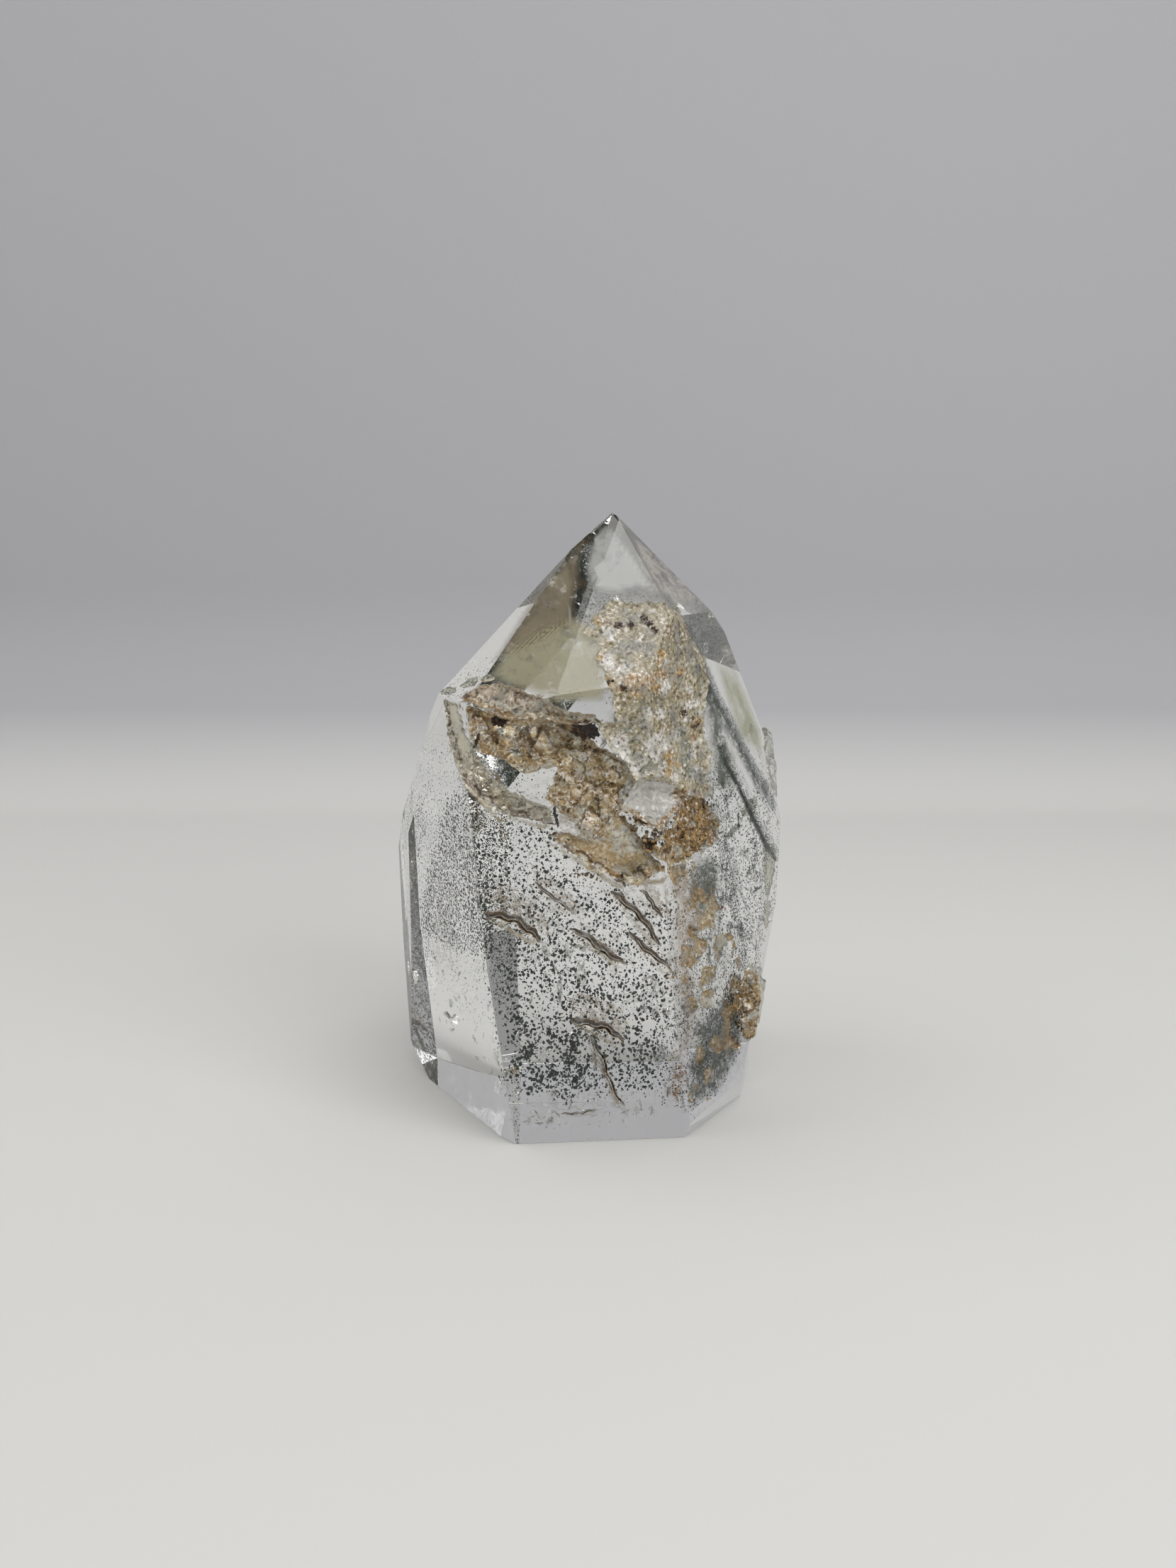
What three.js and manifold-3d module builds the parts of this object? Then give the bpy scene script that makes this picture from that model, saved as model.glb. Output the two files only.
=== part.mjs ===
// Garden quartz tower: one polished point of included quartz, standing on its own flat base.
// Millimetres, +Z up. The origin is the middle of the stone's footprint on the table, the front faces -Y.
// The stone is ground from a rough block, one polished facet at a time, as a lapidary does it. Then the
// natural places that the polish never reached are opened: the broken hollow, the crevices and the pits.
import * as THREE from 'three';
import { mergeVertices, toCreasedNormals } from 'three/addons/utils/BufferGeometryUtils.js';
import Module from 'manifold-3d';

const wasm = await Module();
wasm.setup();

// Driving dimensions
const ROUGH_WIDTH = 64; // the rough block, before grinding
const ROUGH_HEIGHT = 82;
const LAP = 130; // edge of the block of space that grinding one facet takes away
const CREASE = 12; // sharper edges than this, in degrees, stay sharp
const UP = new THREE.Vector3(0, 0, 1);

// Polished facets. azimuth: the way a facet faces, in degrees from the front (-Y) towards +X.
// tilt: how far it leans back from upright (an undercut facet has a negative tilt).
// reach: the distance from the origin to the facet's plane.
const FACETS = [
  { name: 'front', azimuth: 5.5, tilt: 2.5, reach: 19.6 },
  { name: 'front right', azimuth: 48.5, tilt: 5.5, reach: 21.2 },
  { name: 'right', azimuth: 76, tilt: -8, reach: 20.6 },
  { name: 'right back', azimuth: 112.5, tilt: -1, reach: 24 },
  { name: 'back', azimuth: 181, tilt: 2, reach: 20.7 },
  { name: 'left back', azimuth: -134, tilt: 0.5, reach: 22.3 },
  { name: 'left', azimuth: -72, tilt: -1.5, reach: 22 },
  { name: 'left front', azimuth: -57.2, tilt: -3.5, reach: 19.1 },
  { name: 'left front, lower half', azimuth: -57, tilt: -6, reach: 18.1 },

  { name: 'base bevel, front', azimuth: 5, tilt: -10.5, reach: 18.1 },
  { name: 'base bevel, front corner', azimuth: -44.5, tilt: -12.5, reach: 19.2 },
  { name: 'base bevel, front right', azimuth: 54, tilt: -23.5, reach: 18 },
  { name: 'base bevel, right back', azimuth: 112, tilt: -9, reach: 18.8 },
  { name: 'base bevel, back', azimuth: 182, tilt: -8.5, reach: 17.6 },
  { name: 'base bevel, left back', azimuth: -134, tilt: -7.5, reach: 19.5 },
  { name: 'base bevel, left corner', azimuth: -85, tilt: -34, reach: 17.7 },

  { name: 'shoulder, left front', azimuth: -58, tilt: 6, reach: 26.2 },
  { name: 'shoulder, left', azimuth: -69, tilt: 6, reach: 26.2 },
  { name: 'shoulder, left back', azimuth: -112, tilt: 31, reach: 38 },
  { name: 'shoulder, right', azimuth: 64, tilt: 16, reach: 30.9 },
  { name: 'shoulder, right back', azimuth: 115, tilt: 26, reach: 41.7 },

  { name: 'point, front', azimuth: -5, tilt: 33, reach: 44.1 },
  { name: 'point, front right', azimuth: 1, tilt: 31.5, reach: 42.9 },
  { name: 'point, right', azimuth: 63, tilt: 37, reach: 48.9 },
  { name: 'point, right back', azimuth: 123.5, tilt: 48, reach: 55.4 },
  { name: 'point, back', azimuth: 178.5, tilt: 45.5, reach: 50.2 },
  { name: 'point, left back', azimuth: -120, tilt: 34.5, reach: 38.2 },
  { name: 'point, left front', azimuth: -54.5, tilt: 41.5, reach: 50.6 },
];

// Places are given as someone looking level at the stone sees them: view is the azimuth that they look
// from, across is to their right of the stone's axis, z is the height above the table.

// Breaks: areas that the polish never reached, as [across, z] outlines. depth is how far the broken face
// lies below the polish, at its shallow and at its deep side, and falls is the way it deepens, in degrees
// up from the right. crag is the height of its angular steps and grain is their width. wall is how steeply
// its sides drop (3 is a sheer ledge, 0.6 a smooth bowl).
const FRONT_BREAKS = [
  {
    name: 'cream ledge under the point',
    outline: [
      [-14.6, 52.9], [-12.4, 54.3], [-9.9, 54.7], [-7.7, 53.9], [-4.7, 52.9], [-1.9, 51.4],
      [0.9, 51.2], [1.7, 50.2], [-2.1, 49.9], [-5.1, 50.7], [-9.1, 50.4], [-11.3, 51.6],
    ],
    depth: [0.7, 2.4], falls: -100, crag: 0.5, grain: 2.6, wall: 3,
  },
  {
    name: 'brown bay below the ledge',
    outline: [
      [-13.8, 52.4], [-9.1, 50.9], [-5.1, 50.9], [-2.1, 50.2], [0.6, 48.3], [1.2, 46.9], [-3.4, 45.3],
      [-7.3, 44.4], [-9.2, 45.9], [-12.6, 47.2], [-13.4, 49.4],
    ],
    depth: [2.6, 4.8], falls: -25, crag: 1.3, grain: 2.4, wall: 3,
  },
  {
    name: 'gully along the cream line',
    outline: [
      [-17.0, 52.4], [-15.2, 52.3], [-13.6, 49.0], [-12.3, 46.6], [-11.0, 44.2], [-9.0, 42.7],
      [-6.4, 41.5], [-4.3, 40.6], [-4.0, 39.0], [-6.4, 39.2], [-9.2, 39.7], [-11.6, 40.9],
      [-13.7, 42.8], [-14.9, 44.6], [-16.0, 47.4],
    ],
    depth: [0.8, 2.6], falls: -50, crag: 0.7, grain: 1.8, wall: 2.4,
  },
  {
    name: 'craggy brown mass',
    outline: [
      [-5.7, 47.2], [-3.0, 48.2], [0.5, 47.7], [2.4, 47.1], [4.6, 45.5], [5.7, 43.1], [4.2, 40.5],
      [3.3, 39.2], [2.0, 37.0], [0.1, 36.2], [-1.4, 38.4], [-4.7, 41.5], [-3.4, 45.0],
    ],
    depth: [1.0, 2.0], falls: 60, crag: 1.5, grain: 1.7, wall: 3,
  },
  {
    name: 'brown plate above the long crevice',
    outline: [
      [-3.8, 36.9], [-2.1, 37.7], [0.1, 36.6], [2.0, 37.6], [2.4, 39.8], [4.3, 39.4], [7.2, 35.2],
      [9.0, 33.3], [7.9, 32.6], [5.8, 31.2], [3.1, 32.6], [0.1, 34.0], [-2.7, 35.9],
    ],
    depth: [0.4, 3.4], falls: -55, crag: 0.35, grain: 3.0, wall: 3,
  },
  {
    name: 'smooth lilac hollow',
    outline: [
      [5.3, 43.6], [7.2, 44.3], [9.6, 43.7], [12.2, 41.5], [11.0, 40.1], [9.8, 38.8], [8.1, 37.7],
      [6.2, 38.8], [3.9, 40.6], [4.7, 42.5],
    ],
    depth: [2.4, 3.2], falls: -80, crag: 0, grain: 1, wall: 1.2,
  },
  {
    name: 'etched skin of the point',
    outline: [
      [-0.6, 60.4], [0.8, 62.4], [2.9, 64.1], [5.7, 63.7], [8.8, 63.7], [11.3, 62.2], [12.3, 59.8],
      [14.3, 56.9], [14.9, 54.0], [14.2, 51.1], [14.2, 47.6], [15.3, 45.2], [14.9, 42.7],
      [15.4, 40.5], [13.2, 40.2], [11.9, 41.5], [9.4, 43.4], [7.2, 43.9], [5.5, 43.3], [4.3, 45.7],
      [2.4, 47.5], [1.2, 50.1], [3.4, 50.4], [2.6, 53.9], [1.8, 55.9], [0.9, 57.2], [1.5, 58.6],
    ],
    depth: [0.2, 0.7], falls: -70, crag: 1.2, grain: 2.3, wall: 1.6,
  },
  {
    name: 'brown clump, front side',
    outline: [
      [4.1, 40.2], [6.4, 38.9], [8.1, 37.9], [9.8, 39.0], [12.6, 41.0], [14.4, 40.0], [15.4, 37.0],
      [14.4, 34.6], [10.8, 33.3], [8.5, 34.2], [6.6, 35.3], [4.7, 37.7],
    ],
    depth: [-0.1, 0.9], falls: -40, crag: 1.2, grain: 1.9, wall: 2.2,
  },
];

const RIGHT_BREAKS = [
  {
    name: 'brown clump, right side',
    outline: [[-3.0, 41.2], [0.4, 40.6], [2.6, 38.9], [4.4, 37.0], [3.2, 34.6], [-0.9, 33.4], [-5.2, 33.2]],
    depth: [-0.1, 0.4], falls: 0, crag: 1.0, grain: 1.9, wall: 2.2,
  },
  {
    name: 'pitted brown seam',
    outline: [
      [-7.2, 34.0], [-3.0, 33.6], [0.6, 31.2], [3.4, 26.0], [5.6, 22.4], [7.6, 16.6], [8.0, 10.4],
      [4.3, 6.0], [-1.4, 3.4], [-6.4, 4.8], [-6.2, 9.4], [-3.0, 14.0], [-5.8, 19.0], [-4.6, 26.0],
    ],
    depth: [-0.3, -0.1], falls: 90, crag: 1.0, grain: 2.1, wall: 1.6,
  },
];

const RELIEFS = [
  { view: 0, from: [-17.6, 30.6], to: [16.6, 65], step: 0.68, breaks: FRONT_BREAKS },
  { view: 50, from: [-8.4, 2.6], to: [9.2, 42], step: 0.85, breaks: RIGHT_BREAKS },
];

// Crevices: long narrow clefts that dip down to the right. from and to are their ends across the front.
// width is the mouth, depth goes in below the polish, and lean tips the cleft under its upper lip.
const CREVICES = [
  { from: [-15.0, 44.9], to: [-8.6, 38.9], width: 1.3, depth: 4.2, lean: 34 },
  { from: [-9.6, 40.2], to: [-3.6, 38.6], width: 1.2, depth: 3.4, lean: 26 },
  { from: [-4.6, 37.4], to: [5.2, 31.2], width: 1.7, depth: 5.0, lean: 40 },
  { from: [3.0, 32.0], to: [9.9, 32.6], width: 1.7, depth: 4.0, lean: 30 },
  { from: [-11.8, 28.7], to: [-5.0, 25.0], width: 1.5, depth: 3.8, lean: 36 },
  { from: [-2.0, 26.2], to: [4.8, 21.4], width: 0.9, depth: 3.0, lean: 34 },
  { from: [-6.2, 32.0], to: [-1.2, 27.6], width: 0.5, depth: 1.8, lean: 20 },
  { from: [2.8, 30.9], to: [8.8, 23.8], width: 0.9, depth: 3.0, lean: 30 },
  { from: [6.0, 30.8], to: [9.0, 27.2], width: 0.7, depth: 2.2, lean: 24 },
  { from: [4.6, 25.8], to: [10.1, 20.4], width: 0.8, depth: 2.6, lean: 28 },
  { from: [-2.0, 15.7], to: [4.6, 12.5], width: 1.3, depth: 3.6, lean: 32 },
  { from: [0.2, 13.6], to: [4.7, 4.3], width: 1.1, depth: 3.2, lean: -32 },
  { from: [-3.2, 3.8], to: [1.5, 4.2], width: 0.6, depth: 1.6, lean: 10 },
];

// Chips on the polished edges, and a few natural pits and scars on the hidden sides.
// size: half width, half height and depth below the polish; roll turns a chip clockwise in that view.
const CHIPS = [
  { view: -30, across: -4.8, z: 54.6, size: [1.7, 1.1, 0.9], roll: 0 },
  { view: -30, across: -8.6, z: 53.4, size: [2.0, 0.8, 0.8], roll: 8 },
  { view: -30, across: -2.0, z: 55.2, size: [1.2, 0.7, 0.6], roll: -10 },
  { view: 40, across: 2.2, z: 63.0, size: [1.1, 0.7, 0.5], roll: 0 },
  { view: 90, across: 1.6, z: 47.4, size: [1.5, 0.8, 0.6], roll: -10 },
  { view: 112, across: 3.6, z: 26.0, size: [1.2, 4.6, 1.3], roll: 16 },
  { view: 112, across: 1.4, z: 20.4, size: [0.9, 2.6, 1.0], roll: 24 },
  { view: 150, across: -2.4, z: 34.0, size: [2.8, 1.2, 1.6], roll: 34 },
  { view: 150, across: 0.6, z: 30.6, size: [2.2, 0.7, 1.2], roll: 40 },
  { view: 182, across: -5.2, z: 40.4, size: [2.4, 0.9, 1.4], roll: -26 },
  { view: -134, across: 2.2, z: 12.4, size: [1.6, 1.0, 0.8], roll: 20 },
];

// Natural skin left proud at the right, where less was ground away: a step under the shoulder and a
// crust low on the outline. size is half width, half height and how deep each is rooted in the stone,
// and facet is the plane that its own outside was ground to.
const CRUSTS = [
  {
    view: 90, across: 6.8, z: 40.2, size: [4.6, 7.2, 3.4], roll: 10,
    facet: { azimuth: 90, tilt: 4.1, reach: 28.2 },
  },
  {
    view: 76, across: -1.4, z: 13.2, size: [3.2, 6.0, 2.6], roll: 6,
    facet: { azimuth: 72, tilt: -8, reach: 21.4 },
  },
];

const SURFACE = { color: '#c9c9bd', roughness: 0.08, metalness: 0 };

function radians(degrees) {
  return THREE.MathUtils.degToRad(degrees);
}

function facing({ azimuth, tilt }) {
  const a = radians(azimuth);
  const t = radians(tilt);
  return new THREE.Vector3(Math.sin(a) * Math.cos(t), -Math.cos(a) * Math.cos(t), Math.sin(t));
}

// A repeatable stream of numbers from 0 to 1, so that the stone breaks the same way every time.
function numbers(seed) {
  let state = seed * 7919 + 17;
  return () => {
    state = (state * 16807) % 2147483647;
    return state / 2147483647;
  };
}

function solid(geometry) {
  const bare = geometry.clone();
  bare.deleteAttribute('normal');
  bare.deleteAttribute('uv');
  const merged = mergeVertices(bare, 1e-5);
  const vertProperties = new Float32Array(merged.attributes.position.array);
  const triVerts = new Uint32Array(merged.index.array);
  return new wasm.Manifold(new wasm.Mesh({ numProp: 3, vertProperties, triVerts }));
}

// A faceted lump of unit size whose corners are pushed in and out, like broken stone.
function shard(seed, detail, roughness) {
  const bare = new THREE.IcosahedronGeometry(1, detail);
  bare.deleteAttribute('normal');
  bare.deleteAttribute('uv');
  const lump = mergeVertices(bare, 1e-5);
  const next = numbers(seed);
  const point = new THREE.Vector3();
  const places = lump.attributes.position;
  for (let i = 0; i < places.count; i += 1) {
    point.fromBufferAttribute(places, i).multiplyScalar(1 + roughness * (next() - 0.5));
    places.setXYZ(i, point.x, point.y, point.z);
  }
  return lump;
}

// The axes of a level view: to the right, and ahead into the stone.
function axes(view) {
  const a = radians(view);
  const right = new THREE.Vector3(Math.cos(a), Math.sin(a), 0);
  const ahead = new THREE.Vector3(-Math.sin(a), Math.cos(a), 0);
  return { right, ahead, turn: new THREE.Matrix4().makeBasis(right, ahead, UP) };
}

// How far ahead a level line of sight meets the polished outside of the stone.
function meets({ right, ahead }, across, z) {
  const start = right.clone().multiplyScalar(across).addScaledVector(UP, z);
  let distance = -Infinity;
  for (const facet of FACETS) {
    const normal = facing(facet);
    const slope = normal.dot(ahead);
    if (slope < 0) {
      distance = Math.max(distance, (facet.reach - normal.dot(start)) / slope);
    }
  }
  return distance;
}

// A number from 0 to 1 that belongs to one cell of a grid.
function chance(column, row, kind) {
  const wave = Math.sin(column * 127.1 + row * 311.7 + kind * 74.7) * 43758.5453;
  return wave - Math.floor(wave);
}

// Angular steps, from about -0.5 to 0.5: each place belongs to the nearest of some scattered broken
// faces, which have their own level and tilt.
function steps(across, z, grain) {
  let nearest = Infinity;
  let level = 0;
  for (let i = Math.floor(across / grain) - 1; i <= Math.floor(across / grain) + 1; i += 1) {
    for (let j = Math.floor(z / grain) - 1; j <= Math.floor(z / grain) + 1; j += 1) {
      const dx = across / grain - i - chance(i, j, 1);
      const dz = z / grain - j - chance(i, j, 2);
      if (dx * dx + dz * dz < nearest) {
        nearest = dx * dx + dz * dz;
        level = chance(i, j, 3) - 0.5 + (chance(i, j, 4) - 0.5) * dx + (chance(i, j, 5) - 0.5) * dz;
      }
    }
  }
  return level;
}

// The distance from a place to an outline: positive inside it, negative outside.
function within(outline, across, z) {
  let inside = false;
  let nearest = Infinity;
  outline.forEach(([x1, z1], i) => {
    const [x0, z0] = outline[(i + outline.length - 1) % outline.length];
    const along = ((across - x0) * (x1 - x0) + (z - z0) * (z1 - z0)) / ((x1 - x0) ** 2 + (z1 - z0) ** 2);
    const t = THREE.MathUtils.clamp(along, 0, 1);
    nearest = Math.min(nearest, Math.hypot(across - x0 - t * (x1 - x0), z - z0 - t * (z1 - z0)));
    if (z0 > z !== z1 > z && across < x0 + ((z - z0) * (x1 - x0)) / (z1 - z0)) {
      inside = !inside;
    }
  });
  return inside ? nearest : -nearest;
}

function breakDepth({ outline, depth, falls, crag, grain, wall }, across, z) {
  const edge = within(outline, across, z);
  const way = [Math.cos(radians(falls)), Math.sin(radians(falls))];
  const reach = outline.map(([x, y]) => x * way[0] + y * way[1]);
  const low = Math.min(...reach);
  const share = (across * way[0] + z * way[1] - low) / (Math.max(...reach) - low);
  const floor = THREE.MathUtils.lerp(...depth, THREE.MathUtils.clamp(share, 0, 1));
  return Math.min(edge * wall, floor + crag * steps(across, z, grain));
}

// A relief: a sheet pressed against one side of the stone. It stands clear of the polish, and only its
// breaks reach in, so that cutting it away leaves their broken floors and ragged rims.
function relief({ view, from, to, step, breaks }) {
  const CLEAR = 2;
  const OUTSIDE = -60;
  const seenFrom = axes(view);
  const width = to[0] - from[0];
  const height = to[1] - from[1];
  const columns = Math.round(width / step);
  const rows = Math.round(height / step);
  const sheet = new THREE.BoxGeometry(width, 1, height, columns, 1, rows);
  const places = sheet.attributes.position;
  for (let i = 0; i < places.count; i += 1) {
    const column = Math.round((places.getX(i) / width + 0.5) * columns);
    const row = Math.round((places.getZ(i) / height + 0.5) * rows);
    const across = from[0] + (column + 0.7 * (chance(column, row, 6) - 0.5)) * (width / columns);
    const z = from[1] + (row + 0.7 * (chance(column, row, 7) - 0.5)) * (height / rows);
    let ahead = OUTSIDE;
    if (places.getY(i) > 0) {
      const depths = breaks.map((area) => breakDepth(area, across, z));
      ahead = meets(seenFrom, across, z) + Math.max(-CLEAR, ...depths);
    }
    places.setXYZ(i, across, ahead, z);
  }
  sheet.applyMatrix4(seenFrom.turn);
  return solid(sheet);
}

function grind(stone, facet) {
  const waste = new THREE.BoxGeometry(LAP, LAP, LAP);
  waste.translate(0, 0, LAP / 2 + facet.reach);
  waste.applyQuaternion(new THREE.Quaternion().setFromUnitVectors(UP, facing(facet)));
  return stone.subtract(solid(waste));
}

// A lump with its middle at one place on the polished outside.
function placed(shape, { view, across, z, roll }) {
  const seenFrom = axes(view);
  shape.rotateY(radians(roll));
  shape.translate(across, meets(seenFrom, across, z), z);
  shape.applyMatrix4(seenFrom.turn);
  return solid(shape);
}

function chip(place, seed, detail = 0) {
  const [halfWidth, halfHeight, depth] = place.size;
  const shape = shard(seed, detail, 0.5 - 0.2 * detail);
  shape.scale(halfWidth, depth, halfHeight);
  return placed(shape, place);
}

// A cleft: a long flat shard that goes in under its upper lip.
function cleft({ from, to, width, depth, lean }, seed) {
  const [x0, z0] = from;
  const [x1, z1] = to;
  const shape = shard(seed, 1, 0.3);
  shape.scale(Math.hypot(x1 - x0, z1 - z0) / 2, depth, width / 2);
  shape.rotateX(radians(lean));
  const roll = THREE.MathUtils.radToDeg(Math.atan2(z0 - z1, x1 - x0));
  return placed(shape, { view: 0, across: (x0 + x1) / 2, z: (z0 + z1) / 2, roll });
}

function carve() {
  const block = new THREE.BoxGeometry(ROUGH_WIDTH, ROUGH_WIDTH, ROUGH_HEIGHT);
  block.translate(0, 0, ROUGH_HEIGHT / 2);
  let stone = FACETS.reduce(grind, solid(block));
  for (const sheet of RELIEFS) {
    stone = stone.subtract(relief(sheet));
  }
  CRUSTS.forEach((crust, i) => {
    stone = stone.add(grind(chip(crust, 400 + i, 1), crust.facet));
  });
  CREVICES.forEach((place, i) => {
    stone = stone.subtract(cleft(place, 300 + i));
  });
  CHIPS.forEach((place, i) => {
    stone = stone.subtract(chip(place, 100 + i));
  });
  return stone;
}

// The cut stone as a mesh, with the middle of its box over the origin and its base on the table.
function tower() {
  const { numProp, vertProperties, triVerts } = carve().getMesh();
  const geometry = new THREE.BufferGeometry();
  geometry.setAttribute('position', new THREE.BufferAttribute(new Float32Array(vertProperties), numProp));
  geometry.setIndex(new THREE.BufferAttribute(new Uint32Array(triVerts), 1));
  geometry.computeBoundingBox();
  const { min, max } = geometry.boundingBox;
  geometry.translate(-(min.x + max.x) / 2, -(min.y + max.y) / 2, -min.z);
  const mesh = new THREE.Mesh(toCreasedNormals(geometry, radians(CREASE)), new THREE.MeshStandardMaterial(SURFACE));
  mesh.name = 'quartz_tower';
  return mesh;
}

const group = new THREE.Group();
group.add(tower());

export default group;
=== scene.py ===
# %% [markdown]
# # A garden quartz tower
# This lesson dresses one polished point of garden quartz: a clear crystal that grew around other
# minerals, and that a lapidary then ground to a tower. What makes it look real is not its outline but
# what is inside it, so most of the cells build inclusions and put them where the light finds them.
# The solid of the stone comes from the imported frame. Everything is in metres, with +Z up, the middle of
# the base at the origin and the front facing -Y.

# %% Load the frame
import math

import bmesh
import bpy
import numpy as np
from mathutils import Matrix, Vector, noise
from mathutils.bvhtree import BVHTree


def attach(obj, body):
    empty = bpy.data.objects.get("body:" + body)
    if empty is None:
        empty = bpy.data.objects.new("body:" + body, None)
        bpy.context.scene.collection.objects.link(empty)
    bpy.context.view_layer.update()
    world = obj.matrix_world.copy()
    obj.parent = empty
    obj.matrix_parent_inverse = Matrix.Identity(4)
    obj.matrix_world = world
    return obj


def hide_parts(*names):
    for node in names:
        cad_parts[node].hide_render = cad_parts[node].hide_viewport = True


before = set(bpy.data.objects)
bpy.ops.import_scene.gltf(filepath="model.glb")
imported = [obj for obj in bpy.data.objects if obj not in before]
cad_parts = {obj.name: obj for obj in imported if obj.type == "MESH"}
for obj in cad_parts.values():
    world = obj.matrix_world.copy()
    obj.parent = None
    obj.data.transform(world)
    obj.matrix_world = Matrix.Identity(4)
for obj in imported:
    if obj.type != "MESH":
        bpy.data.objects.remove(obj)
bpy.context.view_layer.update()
cad_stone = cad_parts["quartz_tower"]
MM = 0.001
BODY = "root"

# %% [markdown]
# ## The camera
# The photograph was taken from about 15 cm away with a phone held level with the point and tipped down
# a little. At that distance perspective is strong, so the camera's place matters as much as its lens.

# %% Camera
CAMERA_PLACE = Vector((0, -146 * MM, 63.5 * MM))
CAMERA_TIP_DOWN = 9.0  # degrees below level
LONG_SIDE_SENSOR = 36.0  # mm, across the frame's long side
FRAME_WIDTH, FRAME_HEIGHT = 1659, 2212  # pixels
FOCAL_LENGTH = 1600  # in the same pixels


def added(name, data):
    """Adds an object that carries a mesh, a light or a camera."""
    made = bpy.data.objects.new(name, data)
    bpy.context.collection.objects.link(made)
    return made


camera_data = bpy.data.cameras.new("Camera")
camera_data.sensor_fit = "VERTICAL"
camera_data.sensor_height = LONG_SIDE_SENSOR
camera_data.sensor_width = LONG_SIDE_SENSOR * FRAME_WIDTH / FRAME_HEIGHT
camera_data.lens = LONG_SIDE_SENSOR * FOCAL_LENGTH / FRAME_HEIGHT
camera_data.clip_start = 1 * MM
camera = added("Camera", camera_data)
camera.location = CAMERA_PLACE
camera.rotation_euler = (math.radians(90 - CAMERA_TIP_DOWN), 0, 0)
bpy.context.scene.camera = camera
print("camera lens", round(camera_data.lens, 2), "mm")

# %% [markdown]
# ## Small helpers for meshes
# Each piece's object stays at the origin, and its place is in its mesh, as in the frame. So the helpers
# make an object from bare points and faces, write a number on each corner, and run a modifier and keep
# the result as a plain mesh.

# %% Mesh helpers
def object_from(name, points, faces):
    mesh = bpy.data.meshes.new(name)
    mesh.from_pydata([tuple(p) for p in points], [], [tuple(f) for f in faces])
    mesh.validate()
    mesh.shade_smooth()
    return added(name, mesh)


def object_from_bmesh(name, bm):
    mesh = bpy.data.meshes.new(name)
    bm.to_mesh(mesh)
    bm.free()
    return added(name, mesh)


def write_values(target, name, values):
    """Writes one number for each corner of the mesh, under a name that materials and trees can read."""
    layer = target.data.attributes.new(name, "FLOAT", "POINT")
    layer.data.foreach_set("value", np.asarray(values, np.float32).ravel())
    return target


def baked(target):
    """Replaces an object's mesh by the result of its modifiers, and removes them."""
    graph = bpy.context.evaluated_depsgraph_get()
    mesh = bpy.data.meshes.new_from_object(target.evaluated_get(graph), depsgraph=graph)
    target.modifiers.clear()
    target.data = mesh
    return target


def combine(target, cutter, operation):
    """Cuts a closed mesh away from another one, or joins them, and removes the tool."""
    step = target.modifiers.new("combine", "BOOLEAN")
    step.operation = operation
    step.solver = "MANIFOLD"
    step.object = cutter
    baked(target)
    bpy.data.objects.remove(cutter)
    return target


print("helpers ready")

# %% [markdown]
# ## The polished facets
# The stone's polished faces are flat, so each one is a plane. They are read from the frame: triangles
# that lie in one plane are added up, and every large plane with the whole stone behind it is a facet.

# %% Facets from the frame
FACET_AREA = 8e-6  # m2: smaller flats belong to broken stone
FLAT = 15e-6  # m: how far a corner may lie from its facet's plane
SLIVER = 2e-8  # m2: triangles under this have no sure direction
CRUST_ROOM = 3.3 * MM  # how far the natural crusts at the right stand out of the facets' planes


def facet_planes(source):
    """The outward normal and the reach of each facet, the largest triangles' planes first."""
    corners = np.array([v.co for v in source.data.vertices])
    triangles = np.array([p.vertices[:3] for p in source.data.polygons])
    a, b, c = (corners[triangles[:, i]] for i in range(3))
    cross = np.cross(b - a, c - a)
    areas = np.linalg.norm(cross, axis=1) / 2
    found = []
    left = areas > SLIVER
    for i in np.argsort(-areas):
        if not left[i]:
            continue
        normal = cross[i] / (2 * areas[i])
        reach = normal @ a[i]
        flat = left & (np.abs(a @ normal - reach) < FLAT)
        flat &= (np.abs(b @ normal - reach) < FLAT) & (np.abs(c @ normal - reach) < FLAT)
        left &= ~flat
        behind = (corners @ normal).max() < reach + CRUST_ROOM
        if areas[flat].sum() > FACET_AREA and behind:
            found.append((normal, reach))
    return found


FACETS = facet_planes(cad_stone)
print("facets found:", len(FACETS))

# %% [markdown]
# ## The ground stone
# A tower is ground from a block one facet at a time. The same is done here: a block is cut by each
# plane, and the hole is closed. A lapidary then breaks the edges a little, because sharp quartz chips,
# so a narrow bevel runs along every edge. It is what draws the thin bright lines in the light.

# %% Grind the block and break its edges
EDGE_WIDTH = 0.16 * MM
BLOCK_SIZE = 0.2  # m, well over the stone's height
SAME_CORNER = 5e-6  # m: corners that several facets share come out this close to each other


def ground_block(planes):
    """A block cut by one plane after another, each hole closed with a new face."""
    bm = bmesh.new()
    bmesh.ops.create_cube(bm, size=BLOCK_SIZE)
    for normal, reach in planes:
        everything = bm.verts[:] + bm.edges[:] + bm.faces[:]
        bmesh.ops.bisect_plane(
            bm, geom=everything, plane_co=normal * reach, plane_no=normal, clear_outer=True, dist=1e-7
        )
        rim = [e for e in bm.edges if len(e.link_faces) == 1]
        if rim:
            bmesh.ops.contextual_create(bm, geom=rim)
    bmesh.ops.recalc_face_normals(bm, faces=bm.faces[:])
    return bm


def polished_body():
    bm = ground_block(FACETS)
    bmesh.ops.remove_doubles(bm, verts=bm.verts[:], dist=SAME_CORNER)
    bmesh.ops.bevel(
        bm, geom=bm.edges[:], offset=EDGE_WIDTH / 2, offset_type="WIDTH", segments=2, profile=0.6,
        affect="EDGES", clamp_overlap=True,
    )
    bmesh.ops.triangulate(bm, faces=bm.faces[:])
    return object_from_bmesh("polished_stone", bm)


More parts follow.
